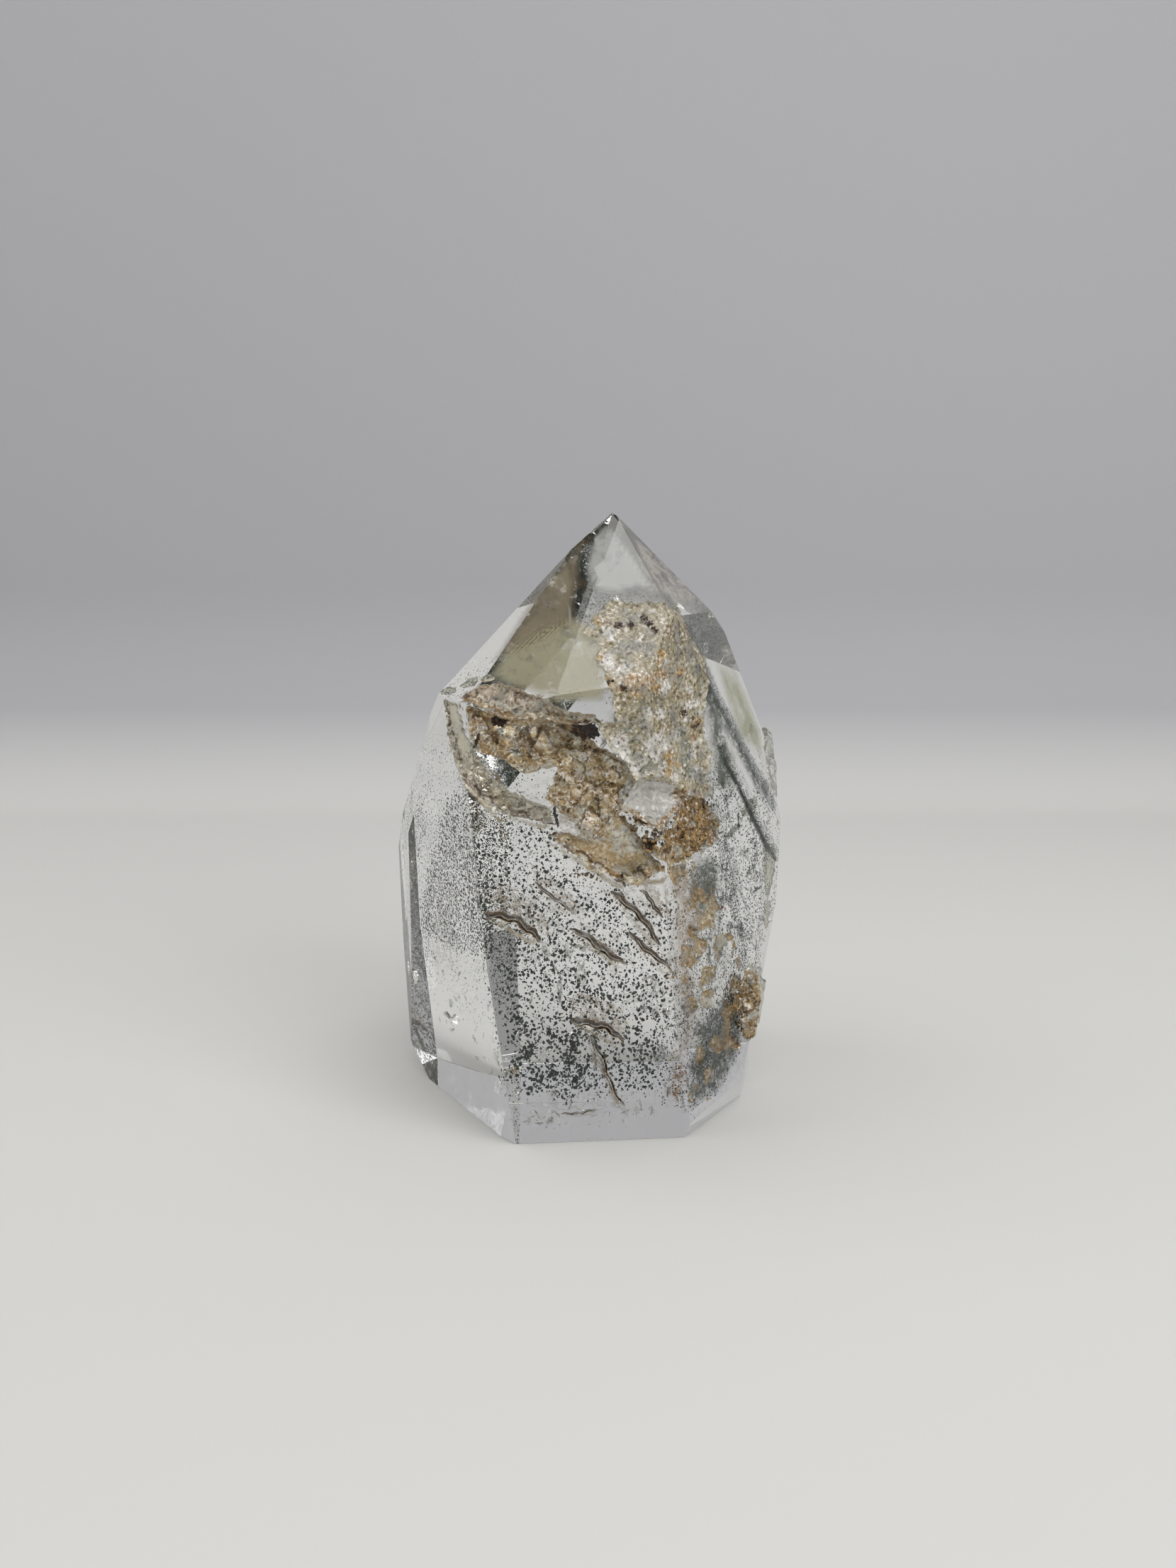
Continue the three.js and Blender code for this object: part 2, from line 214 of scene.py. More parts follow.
stone = polished_body()
polish = BVHTree.FromObject(stone, bpy.context.evaluated_depsgraph_get())
print("ground stone:", len(stone.data.polygons), "faces")

# %% [markdown]
# ## Finding a place on the stone
# Places on the stone are given as someone who looks at it level sees them: view is the side that they
# look from, in degrees from the front towards the right, across is to their right of the stone's axis,
# and height is above the table. The line of sight then meets the facet that lies deepest along it.

# %% Views and lines of sight
AXIS = Vector((-0.10 * MM, -0.07 * MM, 0))  # the facets' own axis, a hair off the middle of the box
FACET_NORMALS = np.array([normal for normal, _ in FACETS])
FACET_REACHES = np.array([reach for _, reach in FACETS])


class View:
    """A level view of the stone, in millimetres across and up."""

    def __init__(self, azimuth):
        a = math.radians(azimuth)
        self.right = np.array([math.cos(a), math.sin(a), 0])
        self.ahead = np.array([-math.sin(a), math.cos(a), 0])
        slopes = FACET_NORMALS @ self.ahead
        seen = slopes < -1e-6
        self.slopes = slopes[seen]
        self.normals = FACET_NORMALS[seen]
        self.reaches = FACET_REACHES[seen]

    def start(self, across, height):
        base = np.multiply.outer(np.asarray(across, float), self.right)
        base = base + np.multiply.outer(np.asarray(height, float), np.array([0, 0, 1.0]))
        return base * MM + np.array(AXIS)

    def place(self, across, height, depth=0.0):
        """The place that lies depth millimetres in from the polish along the line of sight."""
        base = self.start(across, height)
        to_facets = (self.reaches - base @ self.normals.T) / self.slopes
        ahead = to_facets.max(axis=-1) + np.asarray(depth) * MM
        return base + ahead[..., None] * self.ahead


FRONT, RIGHT = View(0), View(50)
print("the front at 40 mm up lies at y =", round(FRONT.place(0, 40)[1] * 1000, 2), "mm")

# %% [markdown]
# ## The natural breaks
# High on the front the polish never reached the bottom of an old break, and above it the crystal's own
# etched skin is left. Each break is an outline with a floor that slopes, stepped like broken quartz. The
# outlines and depths are those of the frame's solid. What is new here is the finer grain: smaller steps,
# and a rim that wanders.

# %% Outlines and depths of the breaks, in millimetres
# name: outline, depth at its shallow and at its deep side, the way it deepens in degrees up from the
# right, height and width of its steps, how steeply its sides drop, share of fine steps on
# the large ones, and height of its soft bumps
FRONT_BREAKS = {
    "cream ledge": (
        [(-14.6, 52.9), (-12.4, 54.3), (-9.9, 54.7), (-7.7, 53.9), (-4.7, 52.9), (-1.9, 51.4),
         (0.9, 51.2), (1.7, 50.2), (-2.1, 49.9), (-5.1, 50.7), (-9.1, 50.4), (-11.3, 51.6)],
        (0.7, 2.4), -100, 0.5, 2.6, 3, 0.4, 0.05),
    "brown bay": (
        [(-13.8, 52.4), (-9.1, 50.9), (-5.1, 50.9), (-2.1, 50.2), (0.6, 48.3), (1.2, 46.9), (-3.4, 45.3),
         (-7.3, 44.4), (-9.2, 45.9), (-12.6, 47.2), (-13.4, 49.4)],
        (2.6, 4.8), -25, 1.5, 2.4, 3, 0.05, 0.08),
    "gully": (
        [(-17, 52.4), (-15.2, 52.3), (-13.6, 49), (-12.3, 46.6), (-11, 44.2), (-9, 42.7), (-6.4, 41.5),
         (-4.3, 40.6), (-4, 39), (-6.4, 39.2), (-9.2, 39.7), (-11.6, 40.9), (-13.7, 42.8), (-14.9, 44.6),
         (-16, 47.4)],
        (0.8, 2.6), -50, 0.7, 1.8, 2.4, 0.25, 0.05),
    "craggy mass": (
        [(-5.7, 47.2), (-3, 48.2), (0.5, 47.7), (2.4, 47.1), (4.6, 45.5), (5.7, 43.1), (4.2, 40.5),
         (3.3, 39.2), (2, 37), (0.1, 36.2), (-1.4, 38.4), (-4.7, 41.5), (-3.4, 45)],
        (1, 2), 60, 1.6, 1.7, 3, 0.25, 0.05),
    "brown plate": (
        [(-3.8, 36.9), (-2.1, 37.7), (0.1, 36.6), (2, 37.6), (2.4, 39.8), (4.3, 39.4), (7.2, 35.2),
         (9, 33.3), (7.9, 32.6), (5.8, 31.2), (3.1, 32.6), (0.1, 34), (-2.7, 35.9)],
        (0.4, 3.4), -55, 0.35, 3, 3, 0.4, 0.06),
    "smooth hollow": (
        [(5.3, 43.6), (7.2, 44.3), (9.6, 43.7), (12.2, 41.5), (11, 40.1), (9.8, 38.8), (8.1, 37.7),
         (6.2, 38.8), (3.9, 40.6), (4.7, 42.5)],
        (2.4, 3.2), -80, 0, 1, 1.2, 0, 0.06),
    "etched skin": (
        [(-0.6, 60.4), (0.8, 62.4), (2.9, 64.1), (5.7, 63.7), (8.8, 63.7), (11.3, 62.2), (12.3, 59.8),
         (14.3, 56.9), (14.9, 54), (14.2, 51.1), (14.2, 47.6), (15.3, 45.2), (14.9, 42.7), (15.4, 40.5),
         (13.2, 40.2), (11.9, 41.5), (9.4, 43.4), (7.2, 43.9), (5.5, 43.3), (4.3, 45.7), (2.4, 47.5),
         (1.2, 50.1), (3.4, 50.4), (2.6, 53.9), (1.8, 55.9), (0.9, 57.2), (1.5, 58.6)],
        (0.2, 0.7), -70, 0.05, 2.3, 0.8, 0.1, 0.06),
    "brown clump": (
        [(4.1, 40.2), (6.4, 38.9), (8.1, 37.9), (9.8, 39), (12.6, 41), (14.4, 40), (15.4, 37),
         (14.4, 34.6), (10.8, 33.3), (8.5, 34.2), (6.6, 35.3), (4.7, 37.7)],
        (-0.1, 0.9), -40, 1.2, 1.9, 2.2, 0.8, 0.05),
}
RIGHT_BREAKS = {
    "brown clump, right side": (
        [(-3, 41.2), (0.4, 40.6), (2.6, 38.9), (4.4, 37), (3.2, 34.6), (-0.9, 33.4), (-5.2, 33.2)],
        (-0.1, 0.4), 0, 1, 1.9, 2.2, 0.8, 0.05),
    "pitted seam": (
        [(-7.2, 34), (-3, 33.6), (0.6, 31.2), (3.4, 26), (5.6, 22.4), (7.6, 16.6), (8, 10.4), (4.3, 6),
         (-1.4, 3.4), (-6.4, 4.8), (-6.2, 9.4), (-3, 14), (-5.8, 19), (-4.6, 26)],
        (-0.3, -0.1), 90, 1, 2.1, 1.6, 0.4, 0.05),
}
print(len(FRONT_BREAKS) + len(RIGHT_BREAKS), "breaks")

# %% [markdown]
# ## Steps like broken quartz
# Quartz has no cleavage: it breaks in small shells and steps. A cheap way to draw that is to scatter
# points, give each its own level and tilt, and let every place take those of the nearest point. The same
# rule at a third and at a ninth of the size gives the fine grain.

# %% Steps and hollows
def chance(column, row, kind):
    """A number from 0 to 1 that belongs to one cell of a grid."""
    wave = np.sin(column * 127.1 + row * 311.7 + kind * 74.7) * 43758.5453
    return wave - np.floor(wave)


def steps(across, height, grain):
    column, row = np.floor(across / grain), np.floor(height / grain)
    nearest = np.full(across.shape, np.inf)
    level = np.zeros(across.shape)
    for i in (-1, 0, 1):
        for j in (-1, 0, 1):
            c, r = column + i, row + j
            dx = across / grain - c - chance(c, r, 1)
            dz = height / grain - r - chance(c, r, 2)
            closer = dx * dx + dz * dz < nearest
            tilt = (chance(c, r, 4) - 0.5) * dx + (chance(c, r, 5) - 0.5) * dz
            level = np.where(closer, chance(c, r, 3) - 0.5 + tilt, level)
            nearest = np.where(closer, dx * dx + dz * dz, nearest)
    return level


def hollows(across, height, size):
    """Shallow bowls side by side, longer down to the right, with ridges between them."""
    along = (0.8 * across - 0.6 * height) / (1.8 * size)
    over = (0.6 * across + 0.8 * height) / size
    column, row = np.floor(along), np.floor(over)
    nearest = np.full(across.shape, np.inf)
    for i in (-1, 0, 1):
        for j in (-1, 0, 1):
            c, r = column + i, row + j
            reach = (along - c - chance(c, r, 6)) ** 2 + (over - r - chance(c, r, 7)) ** 2
            nearest = np.minimum(nearest, reach)
    return 0.3 - np.minimum(nearest, 0.8)


print("steps from", round(float(steps(np.array([1.0]), np.array([2.0]), 2.0)[0]), 3))

# %% [markdown]
# ## Outlines and ripples
# Two more rules are needed all through the lesson. One says how far a place lies inside an outline, so
# that an edge can fade or slope. The other gives soft unevenness, so that no edge runs too true.

# %% Outlines and ripples
def within(outline, across, height):
    """The distance to an outline: positive inside it, negative outside."""
    inside = np.zeros(across.shape, bool)
    nearest = np.full(across.shape, np.inf)
    for (x0, z0), (x1, z1) in zip(outline, outline[1:] + outline[:1]):
        way_x, way_z = x1 - x0, z1 - z0
        t = np.clip(((across - x0) * way_x + (height - z0) * way_z) / (way_x ** 2 + way_z ** 2), 0, 1)
        nearest = np.minimum(nearest, np.hypot(across - x0 - t * way_x, height - z0 - t * way_z))
        if z0 != z1:
            level = (z0 > height) != (z1 > height)
            inside ^= level & (across < x0 + (height - z0) * way_x / way_z)
    return np.where(inside, nearest, -nearest)


def within_any(outlines, across, height):
    return np.max([within(outline, across, height) for outline in outlines], axis=0)


def ripple(across, height, size):
    """Soft unevenness from about -1 to 1, made of a few crossing waves."""
    total = np.zeros(across.shape)
    for k in range(5):
        turn = 1.3 + 2.39996 * k
        phase = (across * math.cos(turn) + height * math.sin(turn)) * 2 * math.pi / size
        total += np.sin(phase * (1 + 0.23 * k) + 1.7 * np.sin(0.37 * phase + k))
    return total / 3


square = [(0, 0), (2, 0), (2, 2), (0, 2)]
middle = np.array([1.0])
print("the middle of a 2 mm square lies", float(within(square, middle, middle)[0]), "mm in")

# %% [markdown]
# ## How deep each place is broken
# The floor of a break slopes from its shallow to its deep side and carries the steps, the hollows between
# them and the soft bumps. At the rim its own wall takes over, which rises as steeply as the list says.
# Where two breaks overlap, the deeper one wins.

# %% Depth of the breaks below the polish
CLEAR = 2.0  # mm that the cutting sheet stays clear of the stone where nothing is broken
RIM_WANDER = 0.16  # mm


def break_depth(area, across, height):
    outline, (shallow, deep), falls, crag, grain, wall, fine, soft = area
    edge = within(outline, across, height) + RIM_WANDER * ripple(across, height, 1.7)
    way = (math.cos(math.radians(falls)), math.sin(math.radians(falls)))
    reaches = [x * way[0] + z * way[1] for x, z in outline]
    share = (across * way[0] + height * way[1] - min(reaches)) / (max(reaches) - min(reaches))
    floor = shallow + (deep - shallow) * np.clip(share, 0, 1)
    floor = floor + crag * steps(across, height, grain)
    floor = floor + 0.30 * fine * crag * steps(across + 31, height, grain / 3)
    floor = floor + fine * (0.05 + 0.07 * crag) * steps(across, height + 17, grain / 9)
    floor = floor + 0.55 * min(crag, 0.8) * hollows(across, height, 0.9 * grain)
    floor = floor + soft * ripple(across, height, 3.8)
    return np.minimum(edge * wall, floor)


def breaks_depth(breaks, across, height):
    """The deepest of the breaks at each place, or CLEAR above the polish where there is none."""
    depths = [break_depth(area, across, height) for area in breaks.values()]
    return np.maximum(-CLEAR, np.max(depths, axis=0))


def front_depth(across, height):
    """The depth of one place of the front, in millimetres."""
    return float(breaks_depth(FRONT_BREAKS, np.array([across]), np.array([height]))[0])


print("depth of the bay", round(front_depth(-6.0, 48.0), 2), "mm")

# %% [markdown]
# ## Cutting the breaks
# The cutter is a closed sheet that stands clear of the stone and reaches in where something is broken.
# It is a fine grid pushed to the right depth, closed by a flat back and four sides, so that one boolean
# cut takes all the breaks of one side. The grid's columns sway a little, so that they don't show.

# %% The cutting sheets
OUTSIDE = -60 * MM


def grid_faces(columns, rows, first=0, flip=False):
    faces = []
    for j in range(rows - 1):
        for i in range(columns - 1):
            a = first + j * columns + i
            square = (a, a + 1, a + columns + 1, a + columns)
            faces.append(square[::-1] if flip else square)
    return faces


def cutting_sheet(view, breaks, low, high, step):
    """The closed sheet for one side, between two corners of its grid in millimetres."""
    columns = round((high[0] - low[0]) / step) + 1
    rows = round((high[1] - low[1]) / step) + 1
    across, height = np.meshgrid(np.linspace(low[0], high[0], columns), np.linspace(low[1], high[1], rows))
    across = across + 0.3 * step * np.sin(height * 17)
    pressed = view.place(across, height, breaks_depth(breaks, across, height)).reshape(-1, 3)
    back = (view.start(across, height) + OUTSIDE * view.ahead).reshape(-1, 3)
    count = columns * rows
    faces = grid_faces(columns, rows) + grid_faces(columns, rows, count, flip=True)
    ring = list(range(columns)) + [columns * (j + 1) - 1 for j in range(1, rows)]
    ring += list(range(count - 2, count - columns - 1, -1)) + [columns * j for j in range(rows - 2, 0, -1)]
    faces += [(ring[k - 1], ring[k - 1] + count, ring[k] + count, ring[k]) for k in range(len(ring))]
    sheet = object_from("cutting_sheet", np.concatenate([pressed, back]), faces)
    bm = bmesh.new()
    bm.from_mesh(sheet.data)
    bmesh.ops.recalc_face_normals(bm, faces=bm.faces[:])
    bmesh.ops.triangulate(bm, faces=bm.faces[:])
    bm.to_mesh(sheet.data)
    bm.free()
    return sheet


combine(stone, cutting_sheet(FRONT, FRONT_BREAKS, (-17.6, 30.6), (16.6, 65), 0.17), "DIFFERENCE")
combine(stone, cutting_sheet(RIGHT, RIGHT_BREAKS, (-8.4, 2.6), (9.2, 42), 0.22), "DIFFERENCE")
print("stone with its breaks:", len(stone.data.polygons), "faces")

# %% [markdown]
# ## Lumps of broken stone
# Crusts, crevices and chips all come from one shape: a sphere that is stretched, then pushed in and out
# by noise so that its surface looks split rather than turned. The noise is read at the stretched place,
# so a long crevice gets many small steps along its length instead of a few long ones.

# %% A lump of broken stone
def lump(name, half_sizes, roughness, grain, seed, detail=5):
    """A rough lump at the origin: half sizes, roughness and grain are in millimetres."""
    bm = bmesh.new()
    bmesh.ops.create_icosphere(bm, subdivisions=detail, radius=1)
    shift = Vector((seed * 7.31, seed * 3.77, seed * 5.13))
    for v in bm.verts:
        direction = v.co.copy()
        v.co = Vector(c * s for c, s in zip(direction, half_sizes))
        coarse = noise.noise((v.co + shift) / grain, noise_basis="VORONOI_F2F1") - 0.3
        fine = noise.noise((v.co + shift) / (grain * 0.3), noise_basis="PERLIN_NEW")
        push = Vector(d * min(1, s) for d, s in zip(direction, half_sizes)).normalized()
        v.co += push * roughness * (coarse + 0.4 * fine)
    bmesh.ops.scale(bm, vec=(MM, MM, MM), verts=bm.verts[:])
    return object_from_bmesh(name, bm)


def put(target, view, across, height, roll=0.0, lean=0.0, depth=0.0):
    """Moves a lump's mesh to a place on the polish. Its y axis goes into the stone."""
    place = Vector(view.place(across, height, depth))
    axes = Matrix((view.right, view.ahead, (0, 0, 1))).transposed()
    turn = axes @ Matrix.Rotation(math.radians(roll), 3, "Y") @ Matrix.Rotation(math.radians(lean), 3, "X")
    target.data.transform(Matrix.Translation(place) @ turn.to_4x4())
    return target


print("a lump has", len(lump("test_lump", (1, 1, 1), 0.1, 1, 0).data.polygons), "faces")
bpy.data.objects.remove(bpy.data.objects["test_lump"])

# %% [markdown]
# ## Crusts
# Two patches of natural skin stand a little proud at the right, where less was ground away. Each is a
# lump rooted in the stone. What would stand beyond its own plane is pressed back to just under it, with
# a low relief, because the grinding only touched it and didn't make it flat.

# %% Crusts at the right
# view, across, height, half width, rooted depth, half height, roll, and its facet: azimuth, tilt, reach
CRUSTS = [
    (90, 6.8, 40.2, 4.4, 3.2, 7, 10, (90, 4.1, 28.2)),
    (76, -1.4, 13.2, 2.9, 2.4, 5.4, 6, (72, -8, 21.4)),
]


def facing(azimuth, tilt):
    a, t = math.radians(azimuth), math.radians(tilt)
    return Vector((math.sin(a) * math.cos(t), -math.cos(a) * math.cos(t), math.sin(t)))


def add_crust(target, seed, azimuth, across, height, half_width, root, half_height, roll, facet):
    crust = lump("crust", (half_width, root, half_height), 0.5, 1.6, seed)
    put(crust, View(azimuth), across, height, roll)
    *direction, reach = facet
    normal = facing(*direction)
    for v in crust.data.vertices:
        y, z = v.co.y / MM, v.co.z / MM
        relief = 0.14 + 0.08 * math.sin(1.9 * y + 0.7 * z + seed) + 0.06 * math.sin(2.3 * z - 1.1 * y)
        beyond = (v.co - AXIS).dot(normal) / MM - reach + relief
        if beyond > 0:
            v.co -= normal * beyond * MM
    return combine(target, crust, "UNION")


for seed, crust in enumerate(CRUSTS):
    add_crust(stone, seed, *crust)
print("stone with its crusts:", len(stone.data.polygons), "faces")

# %% [markdown]
# ## Crevices and chips
# The crevices are old fractures that opened while the crystal grew. They dip to the right, pointed at
# both ends, and go in under their upper lip. Only the outer part of each is open: deeper in, it is a
# closed crack, because an open cleft in clear stone would mirror black from every side. The chips are
# small shells knocked off the polished edges.

# %% Crevices and chips
# The two ends across the front, the width of the mouth, the depth and the lean under the upper lip
CREVICES = [
    ((-15, 44.9), (-8.6, 38.9), 1.3, 4.2, 34),
    ((-9.6, 40.2), (-3.6, 38.6), 1.2, 3.4, 26),
    ((-4.6, 37.4), (5.2, 31.2), 1.7, 5, 40),
    ((3, 32), (9.9, 32.6), 1.7, 4, 30),
    ((-11.8, 28.7), (-5, 25), 1.5, 3.8, 36),
    ((-2, 26.2), (4.8, 21.4), 0.9, 3, 34),
    ((-6.2, 32), (-1.2, 27.6), 0.5, 1.8, 20),
    ((2.8, 30.9), (8.8, 23.8), 0.9, 3, 30),
    ((6, 30.8), (9, 27.2), 0.7, 2.2, 24),
    ((4.6, 25.8), (10.1, 20.4), 0.8, 2.6, 28),
    ((-2, 15.7), (4.6, 12.5), 1.3, 3.6, 32),
    ((0.2, 13.6), (4.7, 4.3), 1.1, 3.2, -32),
    ((-3.2, 3.8), (1.5, 4.2), 0.6, 1.6, 10),
]
# View, across, height, half width, half height, depth and roll
CHIPS = [
    (-30, -4.8, 54.6, 1.7, 1.1, 0.9, 0), (-30, -8.6, 53.4, 2, 0.8, 0.8, 8),
    (-30, -2, 55.2, 1.2, 0.7, 0.6, -10), (40, 2.2, 63, 1.1, 0.7, 0.5, 0),
    (90, 1.6, 47.4, 1.5, 0.8, 0.6, -10), (112, 3.6, 26, 1.2, 4.6, 1.3, 16),
    (112, 1.4, 20.4, 0.9, 2.6, 1, 24), (150, -2.4, 34, 2.8, 1.2, 1.6, 34),
    (150, 0.6, 30.6, 2.2, 0.7, 1.2, 40), (182, -5.2, 40.4, 2.4, 0.9, 1.4, -26),
    (-134, 2.2, 12.4, 1.6, 1, 0.8, 20),
]


OPEN_SHARE = 0.45  # the share of its depth that a crevice is open for
MOUTH = 0.45  # half the mouth's width, less the dust that narrows it: 0.5 would be a clean crevice


def cut_crevice(target, seed, start, end, width, depth, lean):
    """Opens one crevice: a flat lump that is pointed at both ends and sways along its length."""
    (x0, z0), (x1, z1) = start, end
    length = math.hypot(x1 - x0, z1 - z0)
    cleft = lump("cleft", (length / 2, OPEN_SHARE * depth, MOUTH * width / 2), 0.16 * width, 1.3, seed)
    for v in cleft.data.vertices:
        along = 2 * v.co.x / (length * MM)
        v.co.z *= math.sqrt(max(0.02, 1 - along * along))
        sway = 0.20 * math.sin(3.3 * along + 2 * seed) + 0.09 * math.sin(11 * along + 5 * seed)
        v.co.z += width * MM * sway
    roll = math.degrees(math.atan2(z0 - z1, x1 - x0))
    put(cleft, FRONT, (x0 + x1) / 2, (z0 + z1) / 2, roll, lean)
    return combine(target, cleft, "DIFFERENCE")


def cut_chip(target, seed, azimuth, across, height, half_width, half_height, depth, roll):
    shell = lump("chip", (half_width, depth, half_height), 0.3 * depth, 0.9, seed, detail=4)
    put(shell, View(azimuth), across, height, roll)
    return combine(target, shell, "DIFFERENCE")


for seed, crevice in enumerate(CREVICES):
    cut_crevice(stone, seed, *crevice)
for seed, chip in enumerate(CHIPS):
    cut_chip(stone, 40 + seed, *chip)
print("finished stone:", len(stone.data.polygons), "faces")

# %% [markdown]
# ## Polished or broken
# A face is polished if it lies on the ground stone that the cuts started from, and broken if a cutter
# made it. The distance to that ground stone is also how deep a broken place lies. That decides the colour
# inside a crevice, where iron water dried in bands and a band of painted shadow lies under the upper lip.

# %% Sort the faces and measure the depths
POLISHED, BROKEN = 0, 1
ON_POLISH = 4e-6  # m


def sort_faces(target):
    """Calls a face polished if it lies on the ground stone and faces the same way."""
    kinds = np.zeros(len(target.data.polygons), np.int32)
    for face in target.data.polygons:
        _, normal, _, distance = polish.find_nearest(face.center)
        flush = distance < ON_POLISH and normal.dot(face.normal) > 0.99
        kinds[face.index] = POLISHED if flush else BROKEN
    target.data.polygons.foreach_set("material_index", kinds)
    return kinds


def depth_below_polish(points):
    return np.array([polish.find_nearest(p)[3] for p in points]) / MM


face_kinds = sort_faces(stone)
print("polished and broken faces:", np.bincount(face_kinds))

# %% [markdown]
# ## Colours
# Colours are written as sRGB hex values, the way that a paint chart or an image editor shows them, and
# one function turns them into the linear light that Blender reckons with.

# %% Colours
def paint(code):
    parts = [int(code[i:i + 2], 16) / 255 for i in (1, 3, 5)]
    return [p / 12.92 if p <= 0.04045 else ((p + 0.055) / 1.055) ** 2.4 for p in parts] + [1.0]


# The cream serves the clay in the crevices and the painted highlights on ridges and lips; the dark brown
# serves only painted shade.
CREAM_AND_HIGHLIGHT, OCHRE, SHADE_BROWN = paint("#E9DFC8"), paint("#B07A30"), paint("#38281A")
CLEAR_WHITE = paint("#F4F3EF")
print("ochre in linear light:", [round(c, 3) for c in OCHRE[:3]])

# %% [markdown]
# ## The tint of each break
# Each break has a tint, a cover, which is how much of the light the stain stops, and a mattness, which is
# how rough the broken face is. The last number says how strongly a painted highlight is laid on its ridges
# and painted shade in its creases.

# %% The tint of each break
# name: tint, cover, mattness, and how strongly ridges get a painted highlight and creases painted shade
BREAK_STAINS_AND_LIGHT = {
    "cream ledge": (paint("#FFEAD0"), 0.50, 0.10, 0.5),
    "brown bay": (paint("#C79F66"), 0.20, 0.05, 0.5),
    "gully": (paint("#F8EEDC"), 0.12, 0.08, 0.6),
    "craggy mass": (paint("#C8A670"), 0.34, 0.12, 0.6),
    "brown plate": (paint("#D0AC74"), 0.30, 0.09, 0.5),
    "smooth hollow": (paint("#ECE9E6"), 0.34, 0.02, 0.0),
    "etched skin": (paint("#C2B695"), 0.50, 0.16, 0.5),
    "brown clump": (paint("#A18152"), 0.60, 0.36, 0.9),
    "brown clump, right side": (paint("#A18152"), 0.60, 0.36, 0.9),
    "pitted seam": (paint("#C8A672"), 0.22, 0.20, 0.6),
}
PLAIN_MATT, CREVICE_MATT = 0.16, 0.10
PLAIN_COVER = 0.02
print("tints for", len(BREAK_STAINS_AND_LIGHT), "breaks")

# %% [markdown]
# ## Marks on the skin and the clump
# The etched skin isn't of one colour. Glassy patches, clay, chlorite, rust and dark limonite lie in it, and
# the clump has pale crystals with painted shade in the dark gaps between them. Each kind is a tint, a cover
# and a list of places on the front, each with its radius in millimetres.

# %% Marks on the skin and the clump
SKIN_MARKS = [
    (paint("#F1EEE8"), 0.62, [
        (2.4, 60.3, 0.8), (2.3, 57, 1), (3.5, 56.1, 0.6), (4.4, 56.3, 0.7), (9.1, 56.7, 0.6),
        (9.1, 54, 0.8), (12.2, 53.5, 0.5), (11.7, 50.1, 0.5), (12, 51.5, 0.5), (3.7, 48, 1.1),
        (4.2, 46.5, 1), (7.2, 47.5, 0.9), (8.2, 48.2, 0.8), (8.6, 44.8, 0.6), (7.9, 46.1, 0.8),
        (7, 51.1, 0.7), (8.6, 50.9, 0.7), (13.1, 51.8, 0.6), (5.6, 45, 0.9), (6.3, 45.9, 0.7),
        (10.6, 48.4, 0.8), (9.2, 47.2, 0.8), (12.6, 45.6, 0.8), (13.2, 43.6, 0.8), (10.4, 43.4, 0.6),
        (12.9, 46.9, 0.5)]),
    (paint("#A1967A"), 0.55, [
        (11, 59.8, 1.4), (10.1, 60.5, 1), (5.9, 59.2, 1.1), (6.6, 58.4, 0.9), (7.9, 52.8, 0.8),
        (10.1, 50.6, 0.8), (9.8, 49.6, 0.6)]),
    (paint("#CDB088"), 0.62, [
        (6.6, 54.6, 1.1), (5.8, 53.7, 0.9), (4.7, 54.7, 0.8), (7.7, 54.8, 0.9), (9.3, 56, 0.8),
        (8.3, 55.4, 0.8), (10.1, 55.2, 0.7)]),
    (paint("#8E9484"), 0.60, [
        (6.2, 49.6, 0.4), (5.5, 48.3, 0.4), (6.5, 46.8, 0.4), (5.9, 46, 0.35), (7, 44.8, 0.6),
        (5, 49.3, 0.4), (4.2, 49.2, 0.4), (11.2, 48.5, 0.7), (11.6, 47.1, 0.7), (11.9, 45.3, 0.7),
        (12, 43.8, 0.7), (3.6, 59.1, 0.35), (7.1, 58.1, 0.5)]),
    (paint("#C9A160"), 0.78, [
        (1, 61.4, 0.6), (8.6, 57.9, 0.6), (8.3, 56.9, 0.4), (11, 55.5, 0.5), (5.3, 55.4, 0.5),
        (5.4, 53.4, 0.5), (3.8, 54.1, 0.6), (7.9, 54, 0.5), (13.7, 49.7, 0.6), (12.6, 47.7, 0.5),
        (11.6, 41.4, 0.6), (2.5, 54.7, 0.6), (1.4, 57.6, 0.35), (9.6, 46, 0.5), (10.1, 45, 0.6),
        (9.5, 44, 0.4)]),
    (paint("#3F2817"), 1.3, [
        (3.7, 61.1, 0.45), (4, 60.5, 0.25), (5.1, 61.2, 0.4), (6.5, 61.9, 0.6), (7.1, 61.3, 0.45),
        (8, 60.5, 0.5), (6.6, 59.8, 0.2), (2.2, 62.7, 0.25), (1, 55.7, 0.2), (5.6, 55.2, 0.25),
        (4.2, 54.1, 0.3), (2.6, 54.7, 0.3), (8.1, 53.9, 0.3), (8.5, 53.4, 0.25), (11.5, 50.8, 0.3),
        (10.8, 52.5, 0.25), (12.8, 48.9, 0.5), (13.7, 49.2, 0.35), (12.9, 49.9, 0.35), (8.8, 44, 0.2)]),
]
CLUMP_MARKS = [
    (paint("#E0CFAE"), 0.55, [
        (10.2, 38.2, 0.6), (8.6, 36.6, 0.5), (12, 36.3, 0.5), (11.8, 39.2, 0.5), (9.6, 39.4, 0.4),
        (7.6, 38.9, 0.4), (14.2, 37.2, 0.4), (10, 34.6, 0.4), (12.6, 34.9, 0.4), (6, 38.4, 0.4)]),
    # dark gaps: painted shade between the clump's crystals
    (paint("#33241A"), 1.3, [
        (9.3, 35.2, 0.5), (8.2, 35.1, 0.4), (11, 34.2, 0.3), (13.7, 35.7, 0.3), (7.1, 37.8, 0.35),
        (6.4, 36.7, 0.4), (13.1, 38, 0.3), (10.7, 36.9, 0.3)]),
]
MARKS = {"etched skin": SKIN_MARKS, "brown clump": CLUMP_MARKS}
print(sum(len(places) for kinds in MARKS.values() for _, _, places in kinds), "marks")

